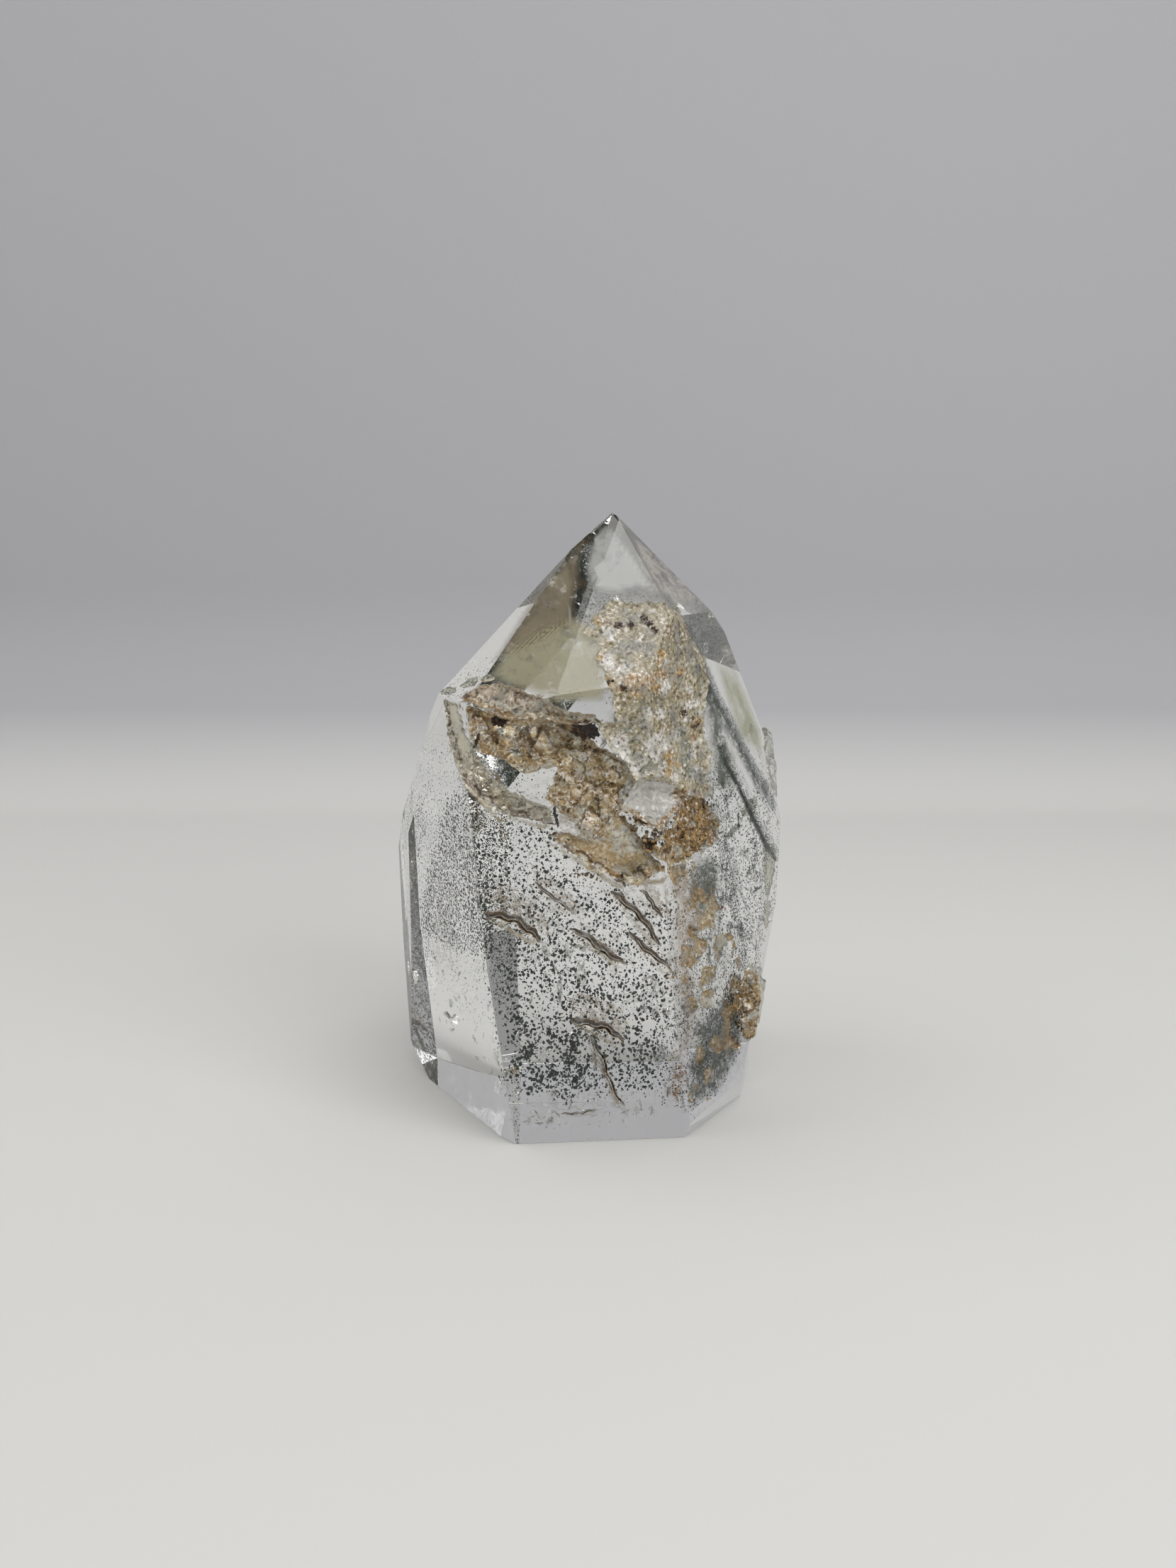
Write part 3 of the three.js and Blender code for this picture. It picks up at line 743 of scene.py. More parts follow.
# %% [markdown]
# ## Shares and distances
# A stain is a mix of colours, and where it shows is a share from 0 to 1. These rules work on all corners
# of the stone at once: one mixes, one ramps, and one turns places into what the viewer of a side measures.

# %% Shares and distances
def mix(first, second, share):
    share = np.asarray(share)[..., None]
    return np.asarray(first) * (1 - share) + np.asarray(second) * share


def ramp(value, low, high):
    return np.clip((value - low) / (high - low), 0, 1)


def seen_from(view, points):
    local = points - np.array(AXIS)
    return local @ view.right / MM, local[:, 2] / MM


def towards(view, points):
    """Which places lie well on the near side of the stone, seen from a side."""
    return (points - np.array(AXIS)) @ view.ahead < -4 * MM


def along_and_below(points, start, end):
    """Millimetres along a line on the front from its start, and below it, and the line's length."""
    across, height = seen_from(FRONT, points)
    (x0, z0), (x1, z1) = start, end
    length = math.hypot(x1 - x0, z1 - z0)
    along = ((across - x0) * (x1 - x0) + (height - z0) * (z1 - z0)) / length
    below = ((across - x0) * (z1 - z0) - (height - z0) * (x1 - x0)) / length
    return along, below, length


print("halfway from cream to ochre:", mix(CREAM_AND_HIGHLIGHT, OCHRE, 0.5).round(2))

# %% [markdown]
# ## Iron in the crevices
# Iron water ran into each crevice and dried. At the lip it left cream clay; just inside, a dark brown band
# is painted shadow under the upper lip; then comes ochre, and further in the walls are pale again. Some
# crevices held more iron than others.

# %% Iron in the crevices
# How much iron each crevice holds, in the order of their list
CREVICE_IRON = [1.0, 1.0, 1.0, 1.0, 0.5, 0.5, 0.3, 0.5, 0.6, 0.6, 0.6, 0.7, 0.5]


def near_crevice(points, start, end, width, depth, lean):
    """Which places may belong to a crevice's walls."""
    along, below, length = along_and_below(points, start, end)
    reach = width / 2 + depth * abs(math.sin(math.radians(lean))) + 0.3
    return (along > -0.3) & (along < length + 0.3) & (np.abs(below) < reach)


def crevice_walls(depths, iron):
    """The tint and cover of a crevice's walls, from their depth in millimetres, with a dark band of painted
    shadow under the lip.
    """
    # a dark brown band just under the lip is painted shadow cast by the upper lip
    wall = mix(CREAM_AND_HIGHLIGHT, SHADE_BROWN, ramp(depths, 0.10, 0.22))
    wall = mix(wall, OCHRE, ramp(depths, 0.45, 0.75))
    wall = mix(wall, CREAM_AND_HIGHLIGHT, ramp(depths, 0.9, 1.5))
    wall[:, 3] = np.interp(depths, [0.05, 0.2, 0.5, 0.8, 1.5], [0.5, 1.0, 1.0, 0.25 + 0.4 * iron, 0.10])
    return wall


print("a wall 0.3 mm deep has the cover", crevice_walls(np.array([0.3]), 0.5)[0, 3])

# %% [markdown]
# ## Joints with painted shade and painted highlights
# Long joints cross the breaks. Each is drawn as one dark line of painted shade in the slit that thins out
# at both ends, with a pale line below it, a painted highlight where the lower edge catches the light. The
# crevices get the same pair of lines where they run through a break.

# %% Dark joints with pale lips
# Their two ends, and how strong their line of painted shade and their painted highlight are
JOINTS = [
    ((-6.4, 51.6), (1.2, 47.2), 1, 0.9), ((0.6, 47.6), (4.8, 44.6), 0.8, 0.9),
    ((-12.6, 53.4), (-2.4, 50.9), 0.3, 1), ((-10.2, 54.2), (-1, 51.3), 0.5, 1),
    ((-13.4, 51.2), (-9.8, 47), 0.8, 0.7), ((-16.6, 51), (-14.4, 44.6), 0.9, 0.6),
    ((-4.8, 45.6), (3.4, 41.6), 0.7, 0.8), ((-2.6, 43.2), (1.6, 37.2), 0.6, 0.7),
    ((-8.6, 49.4), (-4.4, 45.2), 0.7, 0.8), ((2.2, 38.6), (8.6, 33.8), 0.5, 1),
    ((5, 39), (9.4, 34.6), 0.8, 0.6), ((9.4, 37.6), (14.6, 35.2), 0.7, 0.4),
]


def slit_lines(points, start, end):
    """The dark line of painted shade in a slit and the pale line of painted highlight on its lower lip, as
    two shares from 0 to 1.
    """
    along, below, length = along_and_below(points, start, end)
    across, height = seen_from(FRONT, points)
    below = below + 0.25 * ripple(across, height, 2.6)
    share = along / length
    taper = np.sqrt(np.clip(4 * share * (1 - share), 0, 1))
    # dark is the painted shade in the slit, pale the painted highlight on its lower lip
    dark = np.exp(-(below / (0.04 + 0.17 * taper)) ** 2) * taper
    pale = ramp(below, 0.2, 0.4) * (1 - ramp(below, 0.6, 0.95)) * taper
    return dark, pale


def draw_slit(colours, points, where, start, end, slit_shade_tint, lip_highlight_tint):
    """Paints one slit's line of shade and the highlight on its lip, on the corners that where picks."""
    dark, pale = slit_lines(points, start, end)
    lined = mix(mix(colours, CREAM_AND_HIGHLIGHT[:3] + [lip_highlight_tint[0]], lip_highlight_tint[1] * pale),
                SHADE_BROWN[:3] + [slit_shade_tint[0]], slit_shade_tint[1] * dark)
    colours[where] = lined[where]


# %% [markdown]
# ## Ridges and creases
# Ridges and creases need no drawing by hand: a corner that stands out from the mean of its neighbours is on
# a ridge, and one that lies below it is in a crease.

# %% Ridges and creases
def surface_bend(mesh):
    """How far each corner stands out from the mean of its neighbours, in millimetres."""
    points, normals = (np.empty(3 * len(mesh.vertices)) for _ in range(2))
    mesh.vertices.foreach_get("co", points)
    mesh.vertices.foreach_get("normal", normals)
    points, normals = points.reshape(-1, 3), normals.reshape(-1, 3)
    ends = np.empty(2 * len(mesh.edges), int)
    mesh.edges.foreach_get("vertices", ends)
    ends = ends.reshape(-1, 2)
    count = np.bincount(ends.ravel(), minlength=len(points))

    def around(values):
        total = np.zeros(values.shape)
        np.add.at(total, ends[:, 0], values[ends[:, 1]])
        np.add.at(total, ends[:, 1], values[ends[:, 0]])
        return total / count.reshape((-1,) + (1,) * (values.ndim - 1))

    bend = ((points - around(points)) * normals).sum(axis=1) / MM
    return 0.5 * (bend + around(bend))


print("bend of the stone up to", round(float(surface_bend(stone.data).max()), 2), "mm")

# %% [markdown]
# ## Writing the stains and the painted light and shade
# The stains go on the mesh as two attributes, together with the painted highlights on ridges and lips and
# the painted shade in creases, slits and crevices: the tint and cover as one colour a corner with the cover
# as its alpha, and the mattness as a number, so that the material follows the surface.

# %% Stain the broken surfaces and paint their light and shade
STAIN_DEPTH = 0.02  # mm: less deep than this is polish
FRONT_HALF = -8 * MM  # the joints and crevices lie in front of this


def marked(colours, points, inside, marks):
    """Stains at measured places, and the painted shade in the clump's gaps, drawn over a break's own tint
    with ragged edges.
    """
    across, height = seen_from(FRONT, points)
    x = across + 0.30 * ripple(across, height, 1.1) + 0.16 * ripple(height, across, 0.5)
    z = height + 0.30 * ripple(height + 7, across, 1.2) + 0.16 * ripple(across, height + 3, 0.45)
    for tint, cover, places in marks:
        distance = np.min([np.hypot(x - px, z - pz) / radius for px, pz, radius in places], axis=0)
        share = 1 - ramp(distance, 0.55, 1.25)
        share[~inside] = 0
        colours = mix(colours, tint[:3] + [cover], share)
    return colours


def stain_breaks(mesh, points, depths, colours, matt):
    """Writes each break's tint and mattness, with a painted highlight on its ridges and painted shade in
    its creases, and says which corners they cover.
    """
    bend = surface_bend(mesh)
    # a painted highlight where a corner stands out on a ridge, painted shade where it lies in a crease
    ridge_highlight, crease_shade = ramp(bend, 0.016, 0.05), ramp(-bend, 0.020, 0.055)
    taken = np.zeros(len(points), bool)
    for view, breaks in ((FRONT, FRONT_BREAKS), (RIGHT, RIGHT_BREAKS)):
        across, height = seen_from(view, points)
        near = towards(view, points)
        for name, area in breaks.items():
            inside = near & (within(area[0], across, height) > -0.5) & (depths > STAIN_DEPTH)
            tint, cover, mattness, drawn = BREAK_STAINS_AND_LIGHT[name]
            # the break's tint, then the painted highlight on its ridges and the painted shade in its
            # creases
            lined = mix(tint[:3] + [cover], CREAM_AND_HIGHLIGHT[:3] + [0.75], 0.8 * drawn * ridge_highlight)
            lined = mix(lined, SHADE_BROWN[:3] + [0.9], 0.85 * drawn * crease_shade)
            colours[inside] = lined[inside]
            if name in MARKS:
                colours[:] = marked(colours, points, inside, MARKS[name])
            matt[inside] = mattness
            taken |= inside
    return taken


def stain(target):
    points = np.array([v.co for v in target.data.vertices])
    depths = depth_below_polish(points)
    colours = np.tile(np.array(CLEAR_WHITE[:3] + [PLAIN_COVER]), (len(points), 1))
    matt = np.full(len(points), PLAIN_MATT)
    taken = stain_breaks(target.data, points, depths, colours, matt)
    on_front = points[:, 1] < FRONT_HALF
    for crevice, iron in zip(CREVICES, CREVICE_IRON):
        inside = near_crevice(points, *crevice) & (depths > STAIN_DEPTH) & on_front
        only = inside & ~taken
        colours[only] = crevice_walls(depths, iron)[only]
        matt[only] = CREVICE_MATT
        # where a crevice runs through a break: a line of painted shade and a painted highlight on its lower
        # lip
        draw_slit(colours, points, inside & taken, *crevice[:2], (1.0, 1.0), (0.8, 1.0))
    # each joint: a line of painted shade and a painted highlight on its lower lip
    for start, end, slit_shade_share, lip_highlight_share in JOINTS:
        draw_slit(colours, points, on_front & taken, start, end, (0.95, slit_shade_share), (0.75, lip_highlight_share))
    # the stain attribute also carries the painted highlights and the painted shade
    layer = target.data.color_attributes.new("stain", "FLOAT_COLOR", "POINT")
    layer.data.foreach_set("color", colours.astype(np.float32).ravel())
    write_values(target, "matt", matt)
    return colours


stains = stain(stone)
print("stained corners:", int((stains[:, 3] > 0.1).sum()))

# %% [markdown]
# ## Writing materials
# One helper adds a node of any kind, with its own settings, and takes values, other nodes' outputs or whole
# nodes for its inputs. Patterns read Object coordinates, so they stay with the stone. Their scales come
# from real sizes: pattern(0.4) repeats about every 0.4 mm.

# %% Material helpers
def add(tree, kind, inputs=(), **settings):
    """Adds a node. Its inputs come by name or in order; a whole node stands for its first output."""
    node = tree.nodes.new(kind)
    for key, value in settings.items():
        setattr(node, key, value)
    for key, value in inputs.items() if isinstance(inputs, dict) else enumerate(inputs):
        if isinstance(value, bpy.types.Node):
            value = next(output for output in value.outputs if output.enabled)
        if isinstance(value, bpy.types.NodeSocket):
            tree.links.new(value, node.inputs[key])
        else:
            node.inputs[key].default_value = value
    return node


def new_material(name):
    """An empty material, its tree, and the place on the piece that every pattern reads."""
    material = bpy.data.materials.new(name)
    material.use_nodes = True
    material.node_tree.nodes.clear()
    place = add(material.node_tree, "ShaderNodeTexCoord").outputs["Object"]
    return material, material.node_tree, place


def pattern(size_mm):
    return 1 / (size_mm * MM)


QUARTZ_IOR = 1.544
# Clear quartz stops almost nothing in a centimetre, but light goes to and fro in a faceted stone for half a
# metre before it leaves. The trace of yellow is the iron in this one.
QUARTZ_TINT = (0.90, 0.90, 0.80, 1)
QUARTZ_DENSITY = 1.6  # absorption per metre where the tint is black
taken = 1 - math.exp(-QUARTZ_DENSITY * (1 - QUARTZ_TINT[2]) * 0.5)
print("quartz takes", round(100 * taken, 1), "% of the blue in half a metre")

# %% [markdown]
# ## Polished quartz
# Quartz, ground on finer and finer wheels and buffed with cerium oxide. It is clear glass to the eye,
# with a sharp mirror on every facet. What gives it away as stone is the faint orange peel of the buff
# and a few hairline scratches. Here the roughness wanders in soft smears, and a faint bump carries the
# peel.

# %% Polished quartz
def polished_quartz():
    material, tree, place = new_material("polished_quartz")
    smear = add(tree, "ShaderNodeTexNoise", {"Vector": place, "Scale": pattern(9), "Detail": 3})
    rough = add(tree, "ShaderNodeMapRange", [smear, 0.45, 0.7, 0.004, 0.035])
    peel = add(tree, "ShaderNodeTexNoise", {"Vector": place, "Scale": pattern(1.6), "Detail": 2})
    bump = add(tree, "ShaderNodeBump", {"Height": peel, "Strength": 0.05, "Distance": 0.02 * MM})
    shader = add(tree, "ShaderNodeBsdfPrincipled", {
        "Base Color": (1, 1, 1, 1), "Roughness": rough, "IOR": QUARTZ_IOR, "Transmission Weight": 1.0,
        "Normal": bump})
    inside = add(tree, "ShaderNodeVolumeAbsorption", [QUARTZ_TINT, QUARTZ_DENSITY])
    add(tree, "ShaderNodeOutputMaterial", [shader, inside])
    return material


POLISHED_QUARTZ = polished_quartz()
print("made", POLISHED_QUARTZ.name)

# %% [markdown]
# ## Broken and etched quartz
# The same quartz where nothing polished it. The stain attribute gives the colour and the cover, with the
# painted highlights and shade written into it. Iron never dries evenly, so one noise makes patches of it
# darker, and the same noise lays paler patches on as a painted highlight. It is darkest along the joints
# between the broken grains, partly from iron and partly as painted shade in these creases. Under a
# millimetre the surface is a crumble of splinters with painted glints and pits with painted shade, but not
# in the smooth hollow, whose mattness is the lowest.

# %% The colour of broken quartz
def broken_colour(tree, place, stained, matt):
    tint, cover = stained.outputs["Color"], stained.outputs["Alpha"]
    patches = add(tree, "ShaderNodeTexNoise", {
        "Vector": place, "Scale": pattern(1.9), "Detail": 4, "Roughness": 0.55})
    stir = add(tree, "ShaderNodeTexNoise", {"Vector": place, "Scale": pattern(0.8), "Detail": 3})
    stirred = add(tree, "ShaderNodeVectorMath", [stir.outputs["Color"], (0.9 * MM,) * 3, place],
                  operation="MULTIPLY_ADD")
    grains = add(tree, "ShaderNodeTexVoronoi", {"Vector": stirred, "Scale": pattern(0.9)},
                 feature="DISTANCE_TO_EDGE")
    fine = add(tree, "ShaderNodeTexNoise", {
        "Vector": place, "Scale": pattern(0.42), "Detail": 3, "Roughness": 0.6})
    gritty = add(tree, "ShaderNodeMapRange", [matt, 0.025, 0.045])
    painted_highlight_share = add(tree, "ShaderNodeMapRange", [cover, 0.70, 0.95, 0.75, 0.0])
    pit_shade_share = add(tree, "ShaderNodeMapRange", [cover, 0.1, 0.4, 0.0, 0.8])
    colour = tint
    # a pattern, the values between which it sets in, how strong it is at its ends, what it is
    # multiplied by, and the colour that it brings
    for source, low, high, shares, factors, over in (
        # darker patches where the iron dried unevenly
        (patches, 0.50, 0.34, (0, 1), [cover], "#6A543C"),
        # painted highlight: pale patches where the stain lets light through
        (patches, 0.54, 0.64, (0, 1), [painted_highlight_share], "#FBF8F2"),
        # dark along the joints between grains: partly iron, partly painted shade in the creases
        (grains, 0.0, 0.10, (1, 0), [cover, 0.38], "#38281A"),
        # painted shade in the fine pits
        (fine, 0.45, 0.37, (0, 1), [pit_shade_share, gritty], "#4A3626"),
        # painted glints on the fine splinters
        (fine, 0.55, 0.62, (0, 1), [painted_highlight_share, gritty], "#FFFDF8"),
    ):
        share = add(tree, "ShaderNodeMapRange", [source, low, high, *shares])
        for factor in factors:
            share = add(tree, "ShaderNodeMath", [share, factor], operation="MULTIPLY")
        colour = add(tree, "ShaderNodeMix", {"Factor": share, "A": colour, "B": paint(over)},
                     data_type="RGBA")
    patchy = add(tree, "ShaderNodeMapRange", [patches, 0.62, 0.40, 0.35, 1.5])
    covered = add(tree, "ShaderNodeMath", [patchy, cover], operation="MULTIPLY", use_clamp=True)
    return colour, add(tree, "ShaderNodeMath", [1.0, covered], operation="SUBTRACT"), patches


print("broken quartz has five tints over its own")

# %% [markdown]
# ## The shape of broken quartz
# Quartz breaks in small shells, which are drawn by the distance to scattered points at two sizes, and
# etching left fine grit on them. All three go into one bump, which is stronger the matter the place is.

# %% Broken quartz
def broken_quartz():
    material, tree, place = new_material("broken_quartz")
    stained = add(tree, "ShaderNodeAttribute", attribute_name="stain")
    matt = add(tree, "ShaderNodeAttribute", attribute_name="matt").outputs["Fac"]
    colour, clear, patches = broken_colour(tree, place, stained, matt)
    large, small = (add(tree, "ShaderNodeTexVoronoi", {"Vector": place, "Scale": pattern(size)})
                    for size in (0.95, 0.33))
    grit = add(tree, "ShaderNodeTexNoise", {
        "Vector": place, "Scale": pattern(0.20), "Detail": 5, "Roughness": 0.7})
    shape = large
    for part, weight in ((small, 0.4), (grit, 0.35)):
        weighed = add(tree, "ShaderNodeMath", [part, weight], operation="MULTIPLY")
        shape = add(tree, "ShaderNodeMath", [shape, weighed], operation="ADD")
    strength = add(tree, "ShaderNodeMapRange", [matt, 0.06, 0.40, 0.03, 0.7])
    bump = add(tree, "ShaderNodeBump", {"Height": shape, "Strength": strength, "Distance": 0.18 * MM})
    uneven = add(tree, "ShaderNodeMapRange", [patches, 0.35, 0.65, 0.6, 1.5])
    rough = add(tree, "ShaderNodeMath", [matt, uneven], operation="MULTIPLY")
    shader = add(tree, "ShaderNodeBsdfPrincipled", {
        "Base Color": colour, "Roughness": rough, "IOR": QUARTZ_IOR, "Transmission Weight": clear,
        "Normal": bump})
    inside = add(tree, "ShaderNodeVolumeAbsorption", [QUARTZ_TINT, QUARTZ_DENSITY])
    add(tree, "ShaderNodeOutputMaterial", [shader, inside])
    return material


BROKEN_QUARTZ = broken_quartz()
SHARP_EDGE = 38.0  # degrees: broken faces that meet more sharply than this keep a crisp edge between them
stone.name = "quartz_point"
stone.data.materials.clear()
for material in (POLISHED_QUARTZ, BROKEN_QUARTZ):
    stone.data.materials.append(material)
stone.data.polygons.foreach_set("material_index", face_kinds)
stone.data.shade_smooth()
stone.data.set_sharp_from_angle(angle=math.radians(SHARP_EDGE))
stone.data.polygons.foreach_set("use_smooth", [bool(kind == BROKEN) for kind in face_kinds])
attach(stone, BODY)
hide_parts("quartz_tower")
print("dressed", stone.name)

# %% [markdown]
# ## What grew in the quartz
# Garden quartz is quartz that stopped growing, was dusted with chlorite, and grew on. So its grains lie in
# sheets that repeat the crystal's outside a few millimetres down, which is why they are called phantoms.
# Each sheet here is a piece of grid under an outline, as deep as it is told. It carries a number called
# presence, which fades towards its rim and thins out what grows on it.

# %% Sheets inside the stone
def sheet_under(name, view, outlines, depth, step=0.6, sway=0.25, fade=1.2):
    """A sheet that lies depth millimetres inside the polish, under one or more outlines."""
    corners = np.array([corner for outline in outlines for corner in outline])
    low, high = corners.min(axis=0), corners.max(axis=0)
    columns, rows = (max(3, round(span / step) + 1) for span in high - low)
    across, height = np.meshgrid(np.linspace(low[0], high[0], columns), np.linspace(low[1], high[1], rows))
    edge = within_any(outlines, across, height).ravel()
    points = view.place(across, height, depth + sway * ripple(across, height, 11)).reshape(-1, 3)
    faces = [face for face in grid_faces(columns, rows) if (edge[list(face)] > -step).all()]
    return write_values(object_from(name, points, faces), "presence", ramp(edge, -0.3 * step, fade))


def sight_inside(place):
    """The camera's line of sight once it has entered the stone at a place on the polish."""
    place = Vector(place)
    facet = int(np.argmin(np.abs(FACET_NORMALS @ np.array(place) - FACET_REACHES)))
    normal = Vector(FACET_NORMALS[facet])
    look = (place - CAMERA_PLACE).normalized()
    slope = -look.dot(normal)
    bent = math.sqrt(1 - (1 - slope * slope) / QUARTZ_IOR ** 2)
    return (look / QUARTZ_IOR + (slope / QUARTZ_IOR - bent) * normal).normalized()


def edge_on_sheet(name, view, line, deep, depth=0.5):
    """A ribbon below a line on the polish that the camera sees edge on."""
    line = np.array(line)
    starts = view.place(line[:, 0], line[:, 1], depth)
    ways = [np.array(sight_inside(place)) for place in view.place(line[:, 0], line[:, 1])]
    levels = np.linspace(0, deep * MM, 4)
    points = [start + way * level for start, way in zip(starts, ways) for level in levels]
    made = object_from(name, points, grid_faces(len(levels), len(line)))
    return write_values(made, "presence", np.ones(len(points)))


print("the camera looks", [round(c, 2) for c in sight_inside(RIGHT.place(4, 20))], "inside the right front")

# %% [markdown]
# ## A tree that grows grains
# One Geometry Nodes tree grows every kind of grain: it scatters points on a sheet, thins them with a noise
# so that they gather in clumps or streaks, pushes them a random way in, drops those that would hang in an
# open crevice, and puts a small stretched grain on each. The grains are made real at the end, so the
# piece is a plain mesh.

# %% The grain tree
def new_tree(name, numbers):
    """An empty Geometry Nodes tree, and its inputs: a mesh, the numbers, the stone and a material."""
    tree = bpy.data.node_groups.new(name, "GeometryNodeTree")
    tree.interface.new_socket(name="Geometry", in_out="OUTPUT", socket_type="NodeSocketGeometry")
    tree.interface.new_socket(name="Geometry", in_out="INPUT", socket_type="NodeSocketGeometry")
    for name, value in numbers.items():
        kind = "NodeSocketInt" if isinstance(value, int) else "NodeSocketFloat"
        socket = tree.interface.new_socket(name=name, in_out="INPUT", socket_type=kind)
        socket.default_value = value
    tree.interface.new_socket(name="Stone", in_out="INPUT", socket_type="NodeSocketObject")
    tree.interface.new_socket(name="Material", in_out="INPUT", socket_type="NodeSocketMaterial")
    return tree, tree.nodes.new("NodeGroupInput").outputs


def scattered_points(tree, given):
    """Points on the sheet, thinned by its presence and by clumps of noise, with the sheet's normal."""
    place = add(tree, "GeometryNodeInputPosition")
    squeeze = add(tree, "ShaderNodeMath", [1.0, given["Streak"]], operation="DIVIDE")
    flat = add(tree, "ShaderNodeCombineXYZ", [1.0, 1.0, squeeze])
    stretched = add(tree, "ShaderNodeVectorMath", [place, flat], operation="MULTIPLY")
    scale = add(tree, "ShaderNodeMath", [1 / MM, given["Clump size"]], operation="DIVIDE")
    clumps = add(tree, "ShaderNodeTexNoise", {"Vector": stretched, "Scale": scale, "Detail": 2.0})
    top = add(tree, "ShaderNodeMath", [given["Clump threshold"], 0.10], operation="ADD")
    gathered = add(tree, "ShaderNodeMapRange", [clumps, given["Clump threshold"], top])
    own = add(tree, "GeometryNodeInputNamedAttribute", {"Name": "presence"}, data_type="FLOAT")
    share = add(tree, "ShaderNodeMath", [gathered, own], operation="MULTIPLY")
    per_m2 = add(tree, "ShaderNodeMath", [given["Grains per mm2"], 1 / MM ** 2], operation="MULTIPLY")
    density = add(tree, "ShaderNodeMath", [share, per_m2], operation="MULTIPLY")
    return add(tree, "GeometryNodeDistributePointsOnFaces", {
        "Mesh": given["Geometry"], "Density": density, "Seed": given["Seed"]})


def pushed_in(tree, given, scattered):
    """Points moved into the stone by a random part of the sheet's thickness."""
    share = add(tree, "FunctionNodeRandomValue", {"Min": -MM, "Max": 0.0}, data_type="FLOAT")
    deep = add(tree, "ShaderNodeMath", [share, given["Thickness"]], operation="MULTIPLY")
    way = add(tree, "ShaderNodeVectorMath", {0: scattered.outputs["Normal"], "Scale": deep},
              operation="SCALE")
    return add(tree, "GeometryNodeSetPosition", {"Geometry": scattered, "Offset": way})


def kept_inside(tree, given, points):
    """Points without those that lie outside the finished stone."""
    surface = add(tree, "GeometryNodeObjectInfo", {"Object": given["Stone"]}).outputs["Geometry"]
    place = add(tree, "GeometryNodeInputPosition")
    outward = add(tree, "GeometryNodeInputNormal")
    nearest = add(tree, "GeometryNodeProximity", [surface], target_element="FACES")
    faced = add(tree, "GeometryNodeSampleNearestSurface", {"Mesh": surface, "Value": outward},
                data_type="FLOAT_VECTOR")
    offset = add(tree, "ShaderNodeVectorMath", [place, nearest], operation="SUBTRACT")
    height = add(tree, "ShaderNodeVectorMath", [offset, faced], operation="DOT_PRODUCT").outputs["Value"]
    limit = add(tree, "ShaderNodeMath", [given["Sink"], -MM], operation="MULTIPLY")
    outside = add(tree, "ShaderNodeMath", [height, limit], operation="GREATER_THAN")
    return add(tree, "GeometryNodeDeleteGeometry", {"Geometry": points, "Selection": outside})


print("the grain tree's points are ready")

# %% [markdown]
# ## The grains on the points
# A grain is a low ball of four sides and two rings, turned and stretched at random. Small grains are far
# more common than large ones, so the random size is bent by a power before it is used.

# %% The grains on the points
FULL_TURN = (6.283, 6.283, 6.283)
SMALL_IS_COMMON = 1.9  # the power: 1 would make all sizes as common


def strewn(tree, given, piece, scale, seed):
    """Puts a piece on every point, turned at random, makes all real and gives them their material."""
    points = kept_inside(tree, given, pushed_in(tree, given, scattered_points(tree, given)))
    turn = add(tree, "FunctionNodeRandomValue", {0: (0, 0, 0), 1: FULL_TURN, "Seed": seed},
               data_type="FLOAT_VECTOR")
    turned = add(tree, "FunctionNodeEulerToRotation", [turn])
    placed = add(tree, "GeometryNodeInstanceOnPoints", {
        "Points": points, "Instance": piece, "Rotation": turned, "Scale": scale})
    real = add(tree, "GeometryNodeRealizeInstances", [placed])
    dressed = add(tree, "GeometryNodeSetMaterial", {"Geometry": real, "Material": given["Material"]})
    add(tree, "NodeGroupOutput", [dressed])
    return tree


def grain_tree():
    tree, given = new_tree("grains", {
        "Grains per mm2": 8.0, "Smallest": 0.05, "Largest": 0.15, "Clump size": 1.5, "Clump threshold": 0.4,
        "Streak": 1.0, "Thickness": 0.5, "Sink": 0.05, "Flatness": 0.5, "Sides": 4, "Rings": 2, "Seed": 0})
    grain = add(tree, "GeometryNodeMeshUVSphere", [given["Sides"], given["Rings"], MM])
    share = add(tree, "FunctionNodeRandomValue", {"Min": 0.0, "Max": 1.0, "Seed": 7}, data_type="FLOAT")
    share = add(tree, "ShaderNodeMath", [share, SMALL_IS_COMMON], operation="POWER")
    span = add(tree, "ShaderNodeMath", [given["Largest"], given["Smallest"]], operation="SUBTRACT")
    more = add(tree, "ShaderNodeMath", [share, span], operation="MULTIPLY")
    size = add(tree, "ShaderNodeMath", [more, given["Smallest"]], operation="ADD")
    thin = add(tree, "ShaderNodeCombineXYZ", [0.7, 0.7, given["Flatness"]])
    shape = add(tree, "FunctionNodeRandomValue", {0: thin, 1: (1.35, 1.0, 0.95), "Seed": 11},
                data_type="FLOAT_VECTOR")
    scale = add(tree, "ShaderNodeVectorMath", {0: shape, "Scale": size}, operation="SCALE")
    return strewn(tree, given, grain, scale, seed=0)


GRAINS = grain_tree()


def riding(piece):
    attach(piece, BODY)
    return piece


def grown(sheet, tree, material, **values):
    """Runs a tree on a sheet, makes the result a plain mesh, and lets it ride with the stone."""
    step = sheet.modifiers.new("grow", "NODES")
    step.node_group = tree
    named = {name.replace("_", " "): value for name, value in values.items()}
    named.update({"Stone": stone, "Material": material})
    for socket in tree.interface.items_tree:
        if socket.in_out == "INPUT" and socket.name in named:
            step[socket.identifier] = named.pop(socket.name)
    assert not named, named
    riding(baked(sheet))
    print(sheet.name, "has", sum(len(p.vertices) - 2 for p in sheet.data.polygons), "triangles")
    return sheet


print("grain tree has", len(GRAINS.nodes), "nodes")

# %% [markdown]
# ## Chlorite
# Chlorite is a soft green-black mica. Its grains are sunk in the quartz with no gap, and quartz and
# chlorite bend light almost alike, so they have hardly any shine: the shader's IOR is that of the step
# between the two.

# %% Chlorite
SUNK_IOR = 1.06


